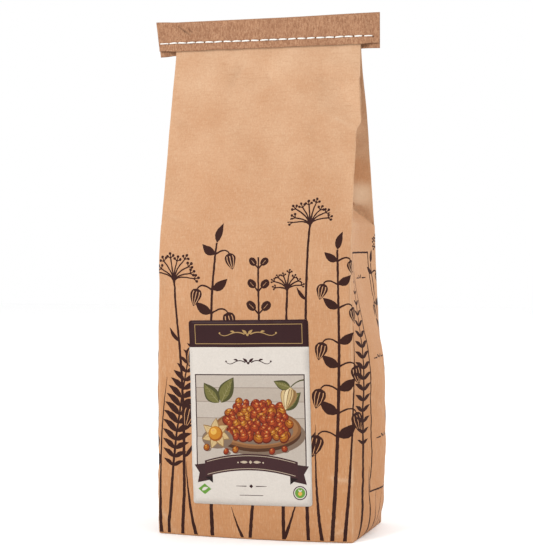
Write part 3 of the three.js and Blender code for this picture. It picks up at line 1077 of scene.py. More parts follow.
def skin_columns():
    """Where the outer skin's grid lies round the tube."""
    ways = set()
    for corner in (PANEL_HALF, HALF_ROUND - PANEL_HALF):
        ways.update(corner + side * off for side in (1, -1) for off in CORNER_COLUMNS)
    clear = CORNER_COLUMNS[-1]
    ways.update(steps(0, PANEL_HALF - clear, FRONT_COLUMN))
    ways.update(steps(PANEL_HALF + clear, QUARTER, SIDE_COLUMN))
    ways.update(steps(QUARTER, HALF_ROUND - PANEL_HALF - clear, SIDE_COLUMN))
    ways.update(steps(HALF_ROUND - PANEL_HALF + clear, HALF_ROUND, BACK_COLUMN))
    positive = sorted(ways)
    columns = [-w for w in reversed(positive) if w > 0] + positive
    columns += [-SEAM_CUT_EDGE, -SEAM_CUT_EDGE + SEAM_STEP, -SEAM_CUT_EDGE + SEAM_STEP / 2]
    return sorted(columns)


# The underside's flaps, glued over each other. The last one lies lowest
BASE_HALF_LENGTH = 74
BASE_HALF_DEPTH = 40
FLAP_REACH = 50
FLAP_STEP = 0.5
FLAP_HEIGHT = 0.2
BASE_GRID_X = (-78, 82, 5)
BASE_GRID_Y = (-38, 38, 5)


def base_flap(side):
    root, tip = BASE_HALF_LENGTH, BASE_HALF_LENGTH - FLAP_REACH
    fold, free_edge = side * BASE_HALF_DEPTH, side * (BASE_HALF_DEPTH - FLAP_REACH)
    return anticlockwise([(-root, fold), (-tip, free_edge), (tip, free_edge), (root, fold)])


def outside_by(points, outline):
    """How far points lie outside a convex outline."""
    outside = np.full(len(points), -1e9)
    for a, b in zip(outline, np.roll(outline, -1, axis=0)):
        along = (b - a) / np.linalg.norm(b - a)
        off = points - a
        outside = np.maximum(outside, off[:, 0] * along[1] - off[:, 1] * along[0])
    return outside


def widened(outline):
    """A flap's outline with room for the step along its edge."""
    middle = outline.mean(axis=0)
    return middle + (outline - middle) * (1 + FLAP_STEP / (FLAP_REACH / 2))


def closed(outline):
    return dense(outline, 4) + [outline[0]]


BASE_FLAPS = [base_flap(1), base_flap(-1)]


def base_height(points):
    """The underside's height over the floor: 0 on its rim and on the last flap."""
    first, second = (np.clip(outside_by(points, flap) / FLAP_STEP, 0, 1) for flap in BASE_FLAPS)
    height = FLAP_HEIGHT * (first + np.minimum(first, second))
    whole = np.array([(-1, -1), (1, -1), (1, 1), (-1, 1)]) * (BASE_HALF_LENGTH, BASE_HALF_DEPTH)
    return height * (1 - np.clip(outside_by(points, whole) / FLAP_STEP, 0, 1))


def gusset_folds():
    """The lines where the gussets' triangles fold, on the unrolled paper."""
    foot, apex = GUSSET_TRIANGLE_SPAN
    t = np.linspace(0, 1, 30)[:, None]
    lines = []
    for side in (1, -1):
        for corner in (PANEL_HALF, HALF_ROUND - PANEL_HALF):
            lines.append(np.array([side * corner, foot]) * (1 - t) + np.array([side * QUARTER, apex]) * t)
    return lines


def add_underside(shell, foot):
    """Adds the underside, which the wall's foot bounds."""
    outline = shell.points[foot[:-1], :2]
    grid = [(x, y) for x in steps(*BASE_GRID_X) for y in steps(*BASE_GRID_Y)]
    edges = [closed(edge) for flap in BASE_FLAPS for edge in (flap, widened(flap))]
    flat, triangles, held = fill_flat(grid, [outline], edges)
    shell.add(np.column_stack([flat, base_height(flat)]), triangles[held == 0], flipped=True)


def add_inside(shell, columns, rim, ways):
    """Adds the mouth's edge, the inner wall and the inner floor."""
    inner_columns = [s for i, s in enumerate(columns) if i % INNER_SHARE == 0 or s == columns[-1]]
    grid = [(s, z) for s in inner_columns for z in steps(BASE_THICKNESS, MOUTH_Z - 4, INNER_ROW)]
    grid += [(s, MOUTH_Z) for s in ways]
    flat, triangles, _ = fill_flat(grid, [])
    wall = skin(flat[:, 0], flat[:, 1], -WALL)
    first = shell.add(wall, triangles, flipped=True)
    inner_rim = first + row_at(flat, MOUTH_Z)
    for (a, b), (c, d) in zip(zip(rim, rim[1:]), zip(inner_rim, inner_rim[1:])):
        shell.faces += [[a, b, d], [a, d, c]]
        shell.kinds += [0, 0]
    foot = row_at(flat, BASE_THICKNESS)
    floor, triangles, held = fill_flat([], [wall[foot[:-1], :2]])
    level = np.full(len(floor), BASE_THICKNESS)
    shell.add(np.column_stack([floor, level]), triangles[held == 0])


def paper_bag():
    columns = skin_columns()
    grid = [(s, z) for s in columns for z in LOWEST_ROWS + steps(FIRST_EVEN_ROW, MOUTH_Z, ROW)]
    printed = bag_print()
    flat, triangles, holders = fill_flat(grid, [outline for _, outline in printed], gusset_folds())
    s, z = flat.T
    shell = Shell()
    shell.add(skin(s, z), triangles, [int(h >= 0 and printed[h][0] == "ink") for h in holders])
    rim = row_at(flat, MOUTH_Z)
    add_underside(shell, row_at(flat, 0))
    add_inside(shell, columns, rim, s[rim])

    kept, faces = weld(shell.points, shell.faces)
    good = [i for i, face in enumerate(faces) if len(set(face)) == 3]
    piece = make_piece(
        "sewn_paper_bag", shell.points[kept], [faces[i] for i in good],
        [kraft_material(), ink_material()], [shell.kinds[i] for i in good],
    )
    rest = np.zeros(len(shell.points) - len(flat))
    # The first holds the rubbed creases and corners with a painted highlight on the right gusset's lit facet,
    # the second painted warm shade in that gusset's fold.
    for name, values in (("crease", rubbed_creases_and_painted_highlight(s, z)), ("painted_shade", patch(s, z, PAINTED_SHADE_PATCH))):
        mark_points(piece, name, np.concatenate([values, rest])[kept])
    return piece


# The label


def label_outline():
    points = []
    inner_width, inner_height = LABEL_WIDTH / 2 - LABEL_RADIUS, LABEL_HEIGHT / 2 - LABEL_RADIUS
    for across, up, start in ((1, 1, 0), (-1, 1, 90), (-1, -1, 180), (1, -1, 270)):
        for k in range(5):
            x, y = LABEL_RADIUS * direction(math.radians(start + 22.5 * k))
            points.append((across * inner_width + x, up * inner_height + y))
    return points


def on_label(u, v, lift):
    """A place on the label, u to the right of its middle and v above it."""
    x = LABEL_CENTRE[0] + u * math.cos(LABEL_TURN) - v * math.sin(LABEL_TURN)
    z = LABEL_CENTRE[1] + u * math.sin(LABEL_TURN) + v * math.cos(LABEL_TURN)
    middle = (right_corner(z) + left_corner(z)) / 2
    half = (right_corner(z) - left_corner(z)) / 2
    return skin((x - middle) / half * PANEL_HALF, z, np.full(len(u), lift))


def mirrored(parts):
    """The same outlines on the other side of the label's middle."""
    return [(paint, np.asarray(outline) * (-1, 1)) for paint, outline in parts]


def flourish(middle, reach, paint):
    """A curled line on both sides of a leaf pair."""
    curl = np.concatenate([
        bent((2.5, 0), (reach * 0.35, 3.2), (reach * 0.62, 0.2), 9),
        bent((reach * 0.62, 0.2), (reach * 0.86, -2.6), (reach, 0.6), 9)[1:],
    ])
    half = [
        (paint, stroke(curl, 0.9, 0.45)),
        (paint, disc((reach, 1.0), 0.8, 8)),
        (paint, leaf((0.6, 0), 0.75, 5.4, 2.3, 0.1)),
        (paint, leaf((reach * 0.45, 1.7), 0.2, 4.2, 1.6, 0.15)),
    ]
    both = half + mirrored(half) + [(paint, disc((0, -0.4), 1.1, 9))]
    return [(paint, np.asarray(outline) + middle) for paint, outline in both]


def berry(place, radius, turn=0.6):
    """A dried berry in four tones with its wrinkles."""
    place = np.asarray(place, float)
    lit = direction(math.pi / 2 + turn)
    flat = 0.86 + 0.1 * math.sin(7 * place[0] + 3 * place[1])
    parts = [
        ("berry_dark", disc(place, radius, 12, flat, 2 * turn)),
        ("berry", disc(place + lit * radius * 0.12, radius * 0.84, 11, flat, 2 * turn)),
        ("berry_light", disc(place + lit * radius * 0.3, radius * 0.5, 9, 0.75, 2 * turn)),
    ]
    if math.sin(5 * place[0] + 8 * place[1]) > 0.55:
        parts[1:] = [("gold_dark", parts[1][1]), ("gold", parts[2][1])]
    for k in (-1, 0, 1):
        start = place + direction(turn + math.pi / 2 + 0.9 * k) * radius * 0.72
        inward = place + direction(turn + math.pi / 2 + 0.4 * k) * radius * 0.12
        wrinkle = bent(start, (start + inward) / 2 + (0.1 * radius, 0), inward, 4)
        parts.append(("berry_dark", stroke(wrinkle, 0.22 * radius, 0.06)))
    parts.append(("glint", disc(place + lit * radius * 0.5, radius * 0.15, 6)))
    return parts


def open_husk(place, size):
    """A husk spread open like petals round its golden berry."""
    place = np.asarray(place, float)
    parts = []
    for angle in (-0.35, 0.55, 1.5, 2.55, 3.5, 4.4, 5.25):
        ahead = direction(angle) * size
        foot = place - ahead * 0.15
        parts += [
            ("husk_dark", leaf(foot, angle, size * 1.2, size * 0.62, 0.08, 9)),
            ("husk", leaf(foot + ahead * 0.06, angle + 0.03, size * 1.06, size * 0.5, 0.08, 9)),
            ("husk_dark", stroke([foot, foot + ahead], size * 0.035, size * 0.012)),
        ]
    return parts + [
        ("gold_dark", disc(place, size * 0.5, 18)),
        ("gold", disc(place + (-0.04 * size, 0.05 * size), size * 0.43, 16)),
        ("gold_light", disc(place + (-0.13 * size, 0.15 * size), size * 0.22, 12)),
        ("glint", disc(place + (-0.18 * size, 0.22 * size), size * 0.07, 8)),
    ]


def closed_husk(place, angle, size):
    """A closed husk hanging from its foot, lit on the left."""
    t = np.linspace(0, 1, 12)
    half = husk_half(t, size * 0.4)
    parts = []
    for paint, low, high in (("husk_dark", -1, 1), ("husk", -0.9, 0.5), ("husk_light", -0.62, -0.1)):
        parts.append((paint, turned(between(t * size, half * low, half * high), place, angle)))
    for tilt in (-0.55, -0.1, 0.3, 0.7):
        rib = np.stack([t[1:-1] * size, tilt * half[1:-1]], axis=1)
        parts.append(("husk_rib", turned(stroke(rib, size * 0.035, size * 0.02), place, angle)))
    return parts


def green_leaf(place, angle, length, width):
    """A leaf in two greens with its veins."""
    foot = np.asarray(place, float)
    ahead = direction(angle) * length
    inner_foot = foot + ahead * 0.03 + direction(angle + 1.57) * width * 0.07
    midrib = bent(foot, foot + direction(angle + 0.08) * length * 0.5, foot + ahead * 0.94, 8)
    parts = [
        ("leaf_dark", leaf(foot, angle, length, width, 0.08, 12)),
        ("leaf", leaf(inner_foot, angle, length * 0.9, width * 0.66, 0.08, 12)),
        ("leaf_vein", stroke(midrib, 0.5, 0.15)),
    ]
    for f in (0.25, 0.42, 0.58, 0.74):
        start = foot + direction(angle + 0.05) * length * f
        for side in (1, -1):
            end = start + direction(angle + side * 0.75) * width * 0.36 * (1.25 - f)
            parts.append(("leaf_vein", stroke([start, end], 0.28, 0.1)))
    return parts


# The picture's box, its planks' upper edges, the board's middle, and the loose berries: place and radius
PICTURE = (-45.7, -46.0, 45.9, 30.7)
PLANKS = (20.5, 9.0, -4.5, -20.0)
BOARD = np.array([6.0, -13.0])
LOOSE_BERRIES = [
    (-12.5, -30.5, 3.2), (-20.5, -32.0, 2.9), (-37.5, -29.0, 3.1), (18.5, -31.5, 3.1), (29, -29.5, 2.8),
]


def wooden_board():
    """A round board on planks."""
    left, low, right, high = PICTURE
    parts = [("backdrop", rectangle(left, low, right, high))]
    for k, (top, below) in enumerate(zip(PLANKS, PLANKS[1:] + (low,))):
        if k % 2 == 0:
            parts.append(("backdrop_dark", rectangle(left, below, right, top)))
        parts.append(("backdrop_line", rectangle(left, top - 0.25, right, top + 0.25)))
    parts += [
        ("shade", disc(BOARD + (1.5, -5.0), 39.0, 40, 0.44)),
        ("board_dark", disc(BOARD + (0, -2.8), 37.0, 40, 0.44)),
        ("board", disc(BOARD, 37.0, 40, 0.44)),
        ("board_light", disc(BOARD + (0, 0.3), 34.5, 40, 0.42)),
    ]
    for k in range(7):
        v = BOARD[1] - 9 + 3 * k
        reach = 29 * math.sqrt(max(0, 1 - ((v - BOARD[1]) / 12.6) ** 2))
        parts.append(("board", stroke([(BOARD[0] - reach, v), (BOARD[0] + reach, v + 0.4)], 0.35, 0.2)))
    parts.append(("shade", disc(BOARD + (1.5, -2.0), 29.0, 30, 0.38)))
    return parts


def berry_heap():
    """A heap of dried berries on the board, nearer ones in front."""
    draw = np.random.default_rng(12)
    heap = []
    for row in range(9):
        v = BOARD[1] + 21.0 - 3.6 * row
        reach = 27 * math.sqrt(max(0.05, 1 - ((row - 5.6) / 6.6) ** 2))
        count = max(2, round(reach / 3.0))
        for k in range(count):
            u = BOARD[0] - reach + 2 * reach * (k + 0.5 * (row % 2)) / max(1, count - 0.5)
            heap.append((u + draw.uniform(-1.2, 1.2), v + draw.uniform(-1.1, 1.1), draw.uniform(3.4, 4.9)))
    parts = []
    for u, v, radius in sorted(heap, key=lambda b: -b[1]):
        parts += berry((u, v), radius, draw.uniform(-0.5, 0.9))
    return parts


def picture():
    """Husks, leaves and a heap of dried berries on a round board."""
    parts = wooden_board()
    for place, angle, *sizes in (((-24, 8), 62, 24, 13), ((-26, 8), 128, 21, 12), ((30, 2), 48, 20, 11)):
        parts += green_leaf(place, math.radians(angle), *sizes)
    parts += berry_heap()
    parts += closed_husk((35, 21), math.radians(-104), 19)
    parts += green_leaf((35, 21), math.radians(160), 15, 8)
    parts.append(("leaf_dark", stroke(bent((45.9, 27), (40, 26.5), (35, 21), 8), 1.2, 0.8)))
    parts.append(("shade", disc((-28, -21.5), 13.5, 20, 0.62)))
    parts += open_husk((-29.5, -17.5), 12.5)
    for u, v, radius in LOOSE_BERRIES:
        parts.append(("shade", disc((u + 0.8, v - 1.3), radius * 1.1, 12, 0.6)))
        parts += berry((u, v), radius, 0.5)
    return parts


# The ribbon: half its length, how far it arches over a half width, its middle's top and its height
RIBBON_HALF = 39.5
RIBBON_RISE = 9.0
RIBBON_ARCH = 47.5
RIBBON_TOP = -33.8
RIBBON_TALL = 13.6


def arc(drop, reach, count=25):
    """A line along the ribbon's arch, lowered by a drop."""
    u = np.linspace(-reach, reach, count)
    return np.stack([u, RIBBON_TOP - RIBBON_RISE * (u / RIBBON_ARCH) ** 2 - drop], axis=1)


def ribbon():
    """A bare ribbon across the label: its arched middle over two swallow tails."""
    tail = [(33, -41.5), (48.6, -43.6), (44.6, -50.2), (46.6, -58.6), (33, -55.5)]
    fold = [(33, -53.0), (39.5, -53.6), (33, -58.6)]
    behind = [("ribbon_tail", tail), ("ribbon_fold", fold)]
    front = np.concatenate([arc(0, RIBBON_HALF), arc(RIBBON_TALL, RIBBON_HALF)[::-1]])
    parts = behind + mirrored(behind) + [("ribbon", front)]
    for drop in (1.5, RIBBON_TALL - 1.5):
        parts.append(("ribbon_line", stroke(arc(drop, RIBBON_HALF - 2), 0.45, 0.45)))
    middle = np.array([0, RIBBON_TOP - RIBBON_TALL / 2])
    parts.append(("ribbon_line", disc(middle, 1.5, 4)))
    for side in (1, -1):
        parts.append(("ribbon_line", leaf(middle + (side * 2.4, 0), math.pi / 2 - side * 1.57, 6.5, 2.2)))
        parts.append(("ribbon_line", disc(middle + (side * 10.6, -0.4), 0.7, 8)))
    return parts


# Under the ribbon the cream paper starts this far below the arch's line
CREAM_DROP = 6.7
BAND_TALL = 22.3
MARK = np.array([-40.5, -63.8])
SEAL = np.array([40.9, -65.3])


def label_head():
    """The dark band along the top with its frame line, and the flourishes."""
    half_width, top = LABEL_WIDTH / 2, LABEL_HEIGHT / 2
    low = top - BAND_TALL
    upper = [p for p in label_outline() if p[1] > 0]
    return [
        ("cream", label_outline()),
        ("band", upper + [(-half_width, low), (half_width, low)]),
        ("gold_line", rectangle(-half_width + 5, low + 2.6, half_width - 5, top - 3.4)),
        ("band", rectangle(-half_width + 5.5, low + 3.1, half_width - 5.5, top - 3.9)),
        *flourish((0, low + 10.6), 24, "gold_line"),
        *flourish((0, 41.2), 19, "band"),
    ]


def label_foot():
    """Short rules, a diamond mark with a leaf and a round one with a berry."""
    parts = [("band", stroke([(side * 4, -60.5), (side * 13, -60.5)], 0.8, 0.35)) for side in (1, -1)]
    return parts + [
        ("band", disc((0, -60.5), 1.7, 4)),
        ("band", rectangle(-10, -68.3, 10, -67.8)),
        ("mark_green", [MARK + (-5.8, 0), MARK + (0, -4.5), MARK + (5.8, 0), MARK + (0, 4.5)]),
        ("cream", leaf(MARK + (-2.6, -1.2), 0.42, 6.2, 2.6, 0.1)),
        ("band", disc(SEAL, 5.7, 28)),
        ("cream", disc(SEAL, 4.9, 26)),
        ("mark_green", disc(SEAL, 4.2, 24)),
        ("gold_light", disc(SEAL + (0, -0.6), 1.7, 12)),
        ("cream", leaf(SEAL + (0, 0.8), 0.9, 2.6, 1.1)),
        ("cream", leaf(SEAL + (0, 0.8), 2.2, 2.6, 1.1)),
    ]


def label_art():
    """The label's print, as (colour, outline), later ones on top."""
    left, low, right, high = PICTURE
    border = ("band", rectangle(left - 0.9, low, right + 0.9, high + 0.9))
    under_ribbon = ("cream", np.concatenate([arc(CREAM_DROP, 49, 21), [(49, -60), (-49, -60)]]))
    return label_head() + [border] + picture() + [under_ribbon] + ribbon() + label_foot()


# The label's printing colours
PALETTE = {
    "cream": (230, 221, 211),
    "band": (57, 29, 31),
    "gold_line": (186, 150, 96),
    "backdrop": (202, 189, 176),
    "backdrop_dark": (192, 177, 162),
    "backdrop_line": (150, 134, 120),
    "shade": (134, 112, 95),
    "board": (139, 92, 56),
    "board_dark": (84, 52, 34),
    "board_light": (164, 114, 72),
    "berry_dark": (104, 34, 18),
    "berry": (152, 54, 26),
    "berry_light": (194, 92, 38),
    "glint": (228, 166, 100),
    "gold_dark": (164, 88, 26),
    "gold": (206, 136, 42),
    "gold_light": (234, 184, 88),
    "husk_dark": (158, 122, 76),
    "husk": (214, 184, 132),
    "husk_light": (236, 214, 170),
    "husk_rib": (132, 98, 60),
    "leaf_dark": (82, 80, 44),
    "leaf": (120, 114, 62),
    "leaf_vein": (160, 150, 102),
    "ribbon": (70, 42, 44),
    "ribbon_tail": (66, 42, 43),
    "ribbon_fold": (36, 22, 23),
    "ribbon_line": (206, 186, 162),
    "mark_green": (112, 160, 66),
}


# How far the label's faces lie off the paper, and its grid
LABEL_TOP = 0.32
LABEL_UNDER = 0.12
LABEL_GRID_X = (-44, 44, 1.8)
LABEL_GRID_Y = (-70, 70, 1.8)


def front_label():
    names = list(PALETTE)
    parts = label_art()
    grid = [(u, v) for u in steps(*LABEL_GRID_X) for v in steps(*LABEL_GRID_Y)]
    flat, triangles, holders = fill_flat(grid, [outline for _, outline in parts])
    triangles, holders = triangles[holders >= 0], holders[holders >= 0]
    shell = Shell()
    shell.add(on_label(*flat.T, LABEL_TOP), triangles, [names.index(parts[h][0]) for h in holders])
    count = shell.add(on_label(*flat.T, LABEL_UNDER), triangles, flipped=True)
    sides = dict.fromkeys((int(p), int(q)) for a, b, c in triangles for p, q in ((a, b), (b, c), (c, a)))
    edge = [[q, p, p + count, q + count] for p, q in sides if (q, p) not in sides]
    materials = [label_material(name, colour(*tone)) for name, tone in PALETTE.items()]
    kinds = shell.kinds + [0] * len(edge)
    return make_piece("front_paper_label", shell.points, shell.faces + edge, materials, kinds)


# The tape over the mouth

TAPE_LEFT, TAPE_RIGHT = -95.9, TAPE_HIGH[0]
TAPE_THICKNESS = 0.6
TAPE_SKIN = 0.45
FRONT_FLAP = 26.5
REAR_FLAP = 29.5
TAPE_HALF_INSIDE = FLAT_HALF + 0.3
TAPE_END_INSIDE = 0.2
TAPE_BEND_FROM = 1
TAPE_BEND = 8
LEFT_END_SLANT = 3.2
LEFT_END_SPAN = (-88, TAPE_LEFT)
STITCH_PITCH = 8.12
STITCH_COUNT = 23
STITCH_START_X = -95.5
STITCH_Z = HEIGHT - FRONT_FLAP + 7
STITCH_CLIMB = 0.7
STITCH_CLIMB_FROM = -20
STITCH_CLIMB_LENGTH = 75
DASH_DIVE = 1.6
PLY_RADIUS = 0.4
PLY_OFFSET = 0.33
TWIST_PITCH = 3.6
PLIES = 3
THREAD_STEP = 0.42
THREAD_OFF = 0.5
THREAD_THIN = 0.72

# The stitches: where a dash starts and ends between its holes, how it slants, and the loops behind
DASH_FROM = 0.17
FIRST_DASH_FROM = 0.02
DASH_TO = 0.83
DASH_SLANT = 0.5
DASH_RISE = 1.7
DASH_SINK = 0.7
HOLE_HALF = 0.15
LOOP_PAST = 0.6
LOOP_OFF = 0.2
LOOP_TURN = 0.3
LOOP_TURN_OFF = 0.55
LOOP_CLEAR = 0.2
LOOP_HALF = 1.25


def tape_half_inside(x):
    past = np.abs(x) - TUBE_WIDTH / 2 - TAPE_BEND_FROM
    return TAPE_HALF_INSIDE + (TAPE_END_INSIDE - TAPE_HALF_INSIDE) * ease((0, TAPE_BEND), past)


def tape_point(x, way, lift):
    """The tape's outer face at x and a distance over the fold, less than 0 in front, lifted off it."""
    half = tape_half_inside(x) + TAPE_THICKNESS
    bend = math.pi / 2 * half
    over = np.clip(way, -bend, bend) / half
    straight = np.maximum(np.abs(way) - bend, 0)
    radius = half + lift
    y = radius * np.sin(over)
    z = HEIGHT - half + radius * np.cos(over) - straight
    slant = LEFT_END_SLANT * (z - HEIGHT + FRONT_FLAP) / FRONT_FLAP * ease(LEFT_END_SPAN, x)
    return np.stack([x - slant, y, z], axis=-1)


def stitch_z(x):
    """The seam's height, which climbs a little towards the left end."""
    return STITCH_Z + STITCH_CLIMB * np.clip((STITCH_CLIMB_FROM - x) / STITCH_CLIMB_LENGTH, 0, 1)


def near_hole(x, way, across, up):
    """1 at the needle's holes, on both faces of the tape, falling off over these distances."""
    nearest = STITCH_START_X + STITCH_PITCH * np.round((x - STITCH_START_X) / STITCH_PITCH)
    nearest = np.clip(nearest, STITCH_START_X + STITCH_PITCH, STITCH_START_X + STITCH_PITCH * STITCH_COUNT)
    stitch_way = tape_way(stitch_z(x))
    return np.exp(-(((x - nearest) / across) ** 2) - ((np.abs(way) - stitch_way) / up) ** 2)


def tape_way(z):
    """How far over the fold a height is, on the tape's flat part over the bag."""
    half = TAPE_HALF_INSIDE + TAPE_THICKNESS
    return math.pi / 2 * half + HEIGHT - half - z


# Folds in the tape: where they run along it and over its fold, their width, and how far they stand out or in
TAPE_CREASES = [
    ((-81, -4), (-64, -17), 1.5, -0.7),
    ((-74, -4), (-60, -14), 1.4, 0.7),
    ((-71, -7), (-64, -13), 1.0, -0.5),
    ((-82, -10), (-68, -19), 1.4, 0.6),
    ((-94, -12), (-78, -17), 1.2, 0.3),
    ((58, -4), (84, -15), 1.6, -0.3),
    ((20, -8), (46, -13), 1.8, -0.25),
    ((90, 4), (62, 20), 1.6, -0.4),
    ((-88, 5), (-60, 16), 1.6, -0.4),
]


# The crepe's waves: how tall, how long along the tape and over its fold, and their seed
CREPE = [(0.05, 0.8, 6, 21), (0.05, 1.9, 11, 22)]
TAPE_ROLL = 0.5
TAPE_ROLL_LENGTH = 15
TAPE_ROLL_SLANT = 20
TAPE_FOLD_SPAN = (0, 6)
TAPE_CURL = 0.8
TAPE_CURL_WIDTH = 5
PUCKER = 0.55
PUCKER_SIZE = (1.2, 1.4)
HOLE_SHADE_SIZE = (0.95, 0.95)
TAPE_DEEPEST = -0.7

# A fold this deep gets painted shade along it, standing in for the shadow in the fold
SHADED_FOLD_DEPTH = -0.45
PAINTED_FOLD_SHADE = 0.62

# How far the flaps' edges lift, over the bag and at the ends, and how far the fold between them sinks
FRONT_LIFT = 0.4
FRONT_END_LIFT = 1.7
REAR_LIFT = 0.2
REAR_END_LIFT = 0.6
LIFT_WAVE = 0.35
LIFT_WAVE_LENGTH = 17
FOLD_SAG = 0.75
FOLD_SAG_WIDTH = 9
FOLD_SAG_LEFT_SPAN = (-96, -80)
FOLD_SAG_RIGHT_SPAN = (92, 10)

# The tape's grid
TAPE_COLUMN = 0.45
FRONT_ROW = 0.9
FOLD_ROW = 0.8
REAR_ROW = 1.9


def tape_relief(x, way):
    """How far the tape stands out: crepe ridges, folds, and a drawn-in place round each needle hole."""
    height = 0
    for tall, along, over, seed in CREPE:
        height = height + tall * waves(x / along, way / over, seed)
    rolls = waves(x / TAPE_ROLL_LENGTH + way / TAPE_ROLL_SLANT, way / TAPE_ROLL_LENGTH, 23)
    height = height + TAPE_ROLL * rolls
    for start, end, width, tall in TAPE_CREASES:
        height = height + tall * crease(x, way, start, end, width)
    front_edge = HEIGHT - FRONT_FLAP
    curl = TAPE_CURL * ease((tape_way(front_edge + TAPE_CURL_WIDTH), tape_way(front_edge)), -way)
    height = height * ease(TAPE_FOLD_SPAN, np.abs(way)) + curl - PUCKER * near_hole(x, way, *PUCKER_SIZE)
    return np.maximum(height, TAPE_DEEPEST)


def painted_fold_shade(x, way):
    """Painted shade along the tape's deepest folds, standing in for the shadow in them."""
    shade = 0 * x
    for start, end, width, tall in TAPE_CREASES:
        if tall < SHADED_FOLD_DEPTH:
            shade = shade + PAINTED_FOLD_SHADE * crease(x, way, start, end, 0.9 * width)
    return shade * (1 + 0.4 * waves(x / 4, way / 4, 29))


def tape_sag(x, way, front_end):
    """How far the tape's flaps are lifted, and its fold let down, along its length."""
    share = np.clip(np.abs(way) / -front_end, 0, 1)
    ends = ease((0, TAPE_BEND), np.abs(x) - TUBE_WIDTH / 2 - TAPE_BEND_FROM)
    front_lift = FRONT_LIFT + FRONT_END_LIFT * ends
    rear_lift = REAR_LIFT + REAR_END_LIFT * ends * (x > 0)
    lift = np.where(way < 0, front_lift, rear_lift) + LIFT_WAVE * waves(x / LIFT_WAVE_LENGTH, x * 0, 27)
    fold = FOLD_SAG * ease(FOLD_SAG_LEFT_SPAN, x) * ease(FOLD_SAG_RIGHT_SPAN, x)
    return lift * share**6 - fold * np.exp(-((way / FOLD_SAG_WIDTH) ** 2))


def closure_tape():
    columns = steps(TAPE_LEFT, TAPE_RIGHT, TAPE_COLUMN)
    bend = math.pi / 2 * (TAPE_HALF_INSIDE + TAPE_THICKNESS)
    front_end = -tape_way(HEIGHT - FRONT_FLAP)
    rear_end = tape_way(HEIGHT - REAR_FLAP)
    ways = steps(front_end, -bend, FRONT_ROW) + steps(-bend, bend, FOLD_ROW)[1:-1]
    ways += steps(bend, rear_end, REAR_ROW)
    x, way = np.meshgrid(columns, ways, indexing="ij")
    x, way = x.ravel(), way.ravel()
    height = tape_relief(x, way)
    edge = tape_sag(x, way, front_end)
    outer, inner = tape_point(x, way, height), tape_point(x, way, height - TAPE_SKIN)
    for face in (outer, inner):
        face[:, 2] += edge
    count, total = len(ways), len(outer)
    faces = []
    for i in range(len(columns) - 1):
        for j in range(count - 1):
            a, d = i * count + j, (i + 1) * count + j
            faces.append([a, d, d + 1, a + 1])
            faces.append([total + a, total + a + 1, total + d + 1, total + d])
    ring = [i * count for i in range(len(columns))]
    ring += [(len(columns) - 1) * count + j for j in range(1, count)]
    ring += [i * count + count - 1 for i in reversed(range(len(columns) - 1))]
    ring += list(range(count - 2, 0, -1))
    faces += [[a, total + a, total + b, b] for a, b in zip(ring, ring[1:] + ring[:1])]
    piece = make_piece("crepe_closure_tape", np.concatenate([outer, inner]), faces, [tape_material()])
    # Painted shade at the needle holes and along the deepest folds.
    mark = near_hole(x, way, *HOLE_SHADE_SIZE) + painted_fold_shade(x, way)
    mark_points(piece, "hole", np.concatenate([mark, mark]))
    return piece


# The thread


def tube_along(route, radii, sides):
    """A closed round tube along a route of points."""
    ahead = unit(np.gradient(route, axis=0))
    aside = np.zeros_like(route)
    last = np.array([0.0, 0.0, 1.0])
    for i, heading in enumerate(ahead):
        last = last - heading * np.dot(last, heading)
        last = last / np.linalg.norm(last)
        aside[i] = last
    over = np.cross(ahead, aside)
    angles = np.arange(sides) * 2 * math.pi / sides
    rings = route[:, None] + radii[:, None, None] * (
        aside[:, None] * np.cos(angles)[None, :, None] + over[:, None] * np.sin(angles)[None, :, None]
    )
    faces = ring_faces(len(route), sides)
    faces.append(list(range(sides))[::-1])
    faces.append([(len(route) - 1) * sides + j for j in range(sides)])
    return rings.reshape(-1, 3), faces


def resample(route, size):
    route = np.asarray(route, float)
    lengths = np.concatenate([[0], np.cumsum(np.linalg.norm(np.diff(route, axis=0), axis=1))])
    places = np.linspace(0, lengths[-1], max(2, round(lengths[-1] / size) + 1))
    return np.stack([np.interp(places, lengths, route[:, i]) for i in range(3)], axis=1), places


def smoothed(route, times):
    for _ in range(times):
        middle = (route[:-2] + 2 * route[1:-1] + route[2:]) / 4
        route = np.concatenate([route[:1], middle, route[-1:]])
    return route


def tape_face(x):
    return float(tape_half_inside(x)) + TAPE_THICKNESS


def stitch_route():
    """One thread: a dash in front, through the needle's hole, round the next loop behind, and back."""
    route = []
    for i in range(STITCH_COUNT):
        start = STITCH_START_X + STITCH_PITCH * i
        end = start + STITCH_PITCH
        slant = DASH_SLANT * math.sin(2.4 * i)
        for t in np.linspace(DASH_FROM if i else FIRST_DASH_FROM, DASH_TO, 9):
            x = start + (end - start) * t
            lift = THREAD_OFF * (DASH_RISE * math.sin(math.pi * t) ** 0.5 - DASH_SINK)
            route.append((x, -tape_face(x) - lift, stitch_z(x) + slant * (t - 0.5)))
        back = tape_face(end) + THREAD_OFF
        through = [(y, stitch_z(end)) for y in np.linspace(DASH_DIVE - tape_face(end), back, 4)]
        route += [(end - HOLE_HALF, y, z) for y, z in through]
        if i < STITCH_COUNT - 1:
            reach = STITCH_PITCH + LOOP_PAST
            out = [end + reach * t for t in np.linspace(0.1, 0.9, 7)]
            rise = [LOOP_CLEAR + LOOP_HALF * math.sin(math.pi * t) for t in np.linspace(0.1, 0.9, 7)]
            route += [(x, back + LOOP_OFF, stitch_z(x) + up) for x, up in zip(out, rise)]
            route.append((end + reach + LOOP_TURN, back + LOOP_TURN_OFF, stitch_z(end + reach)))
            route += [(x, back + LOOP_OFF, stitch_z(x) - up) for x, up in zip(out[::-1], rise[::-1])]
        route += [(end + HOLE_HALF, y, z) for y, z in through[::-1]]
    return route[:-4]


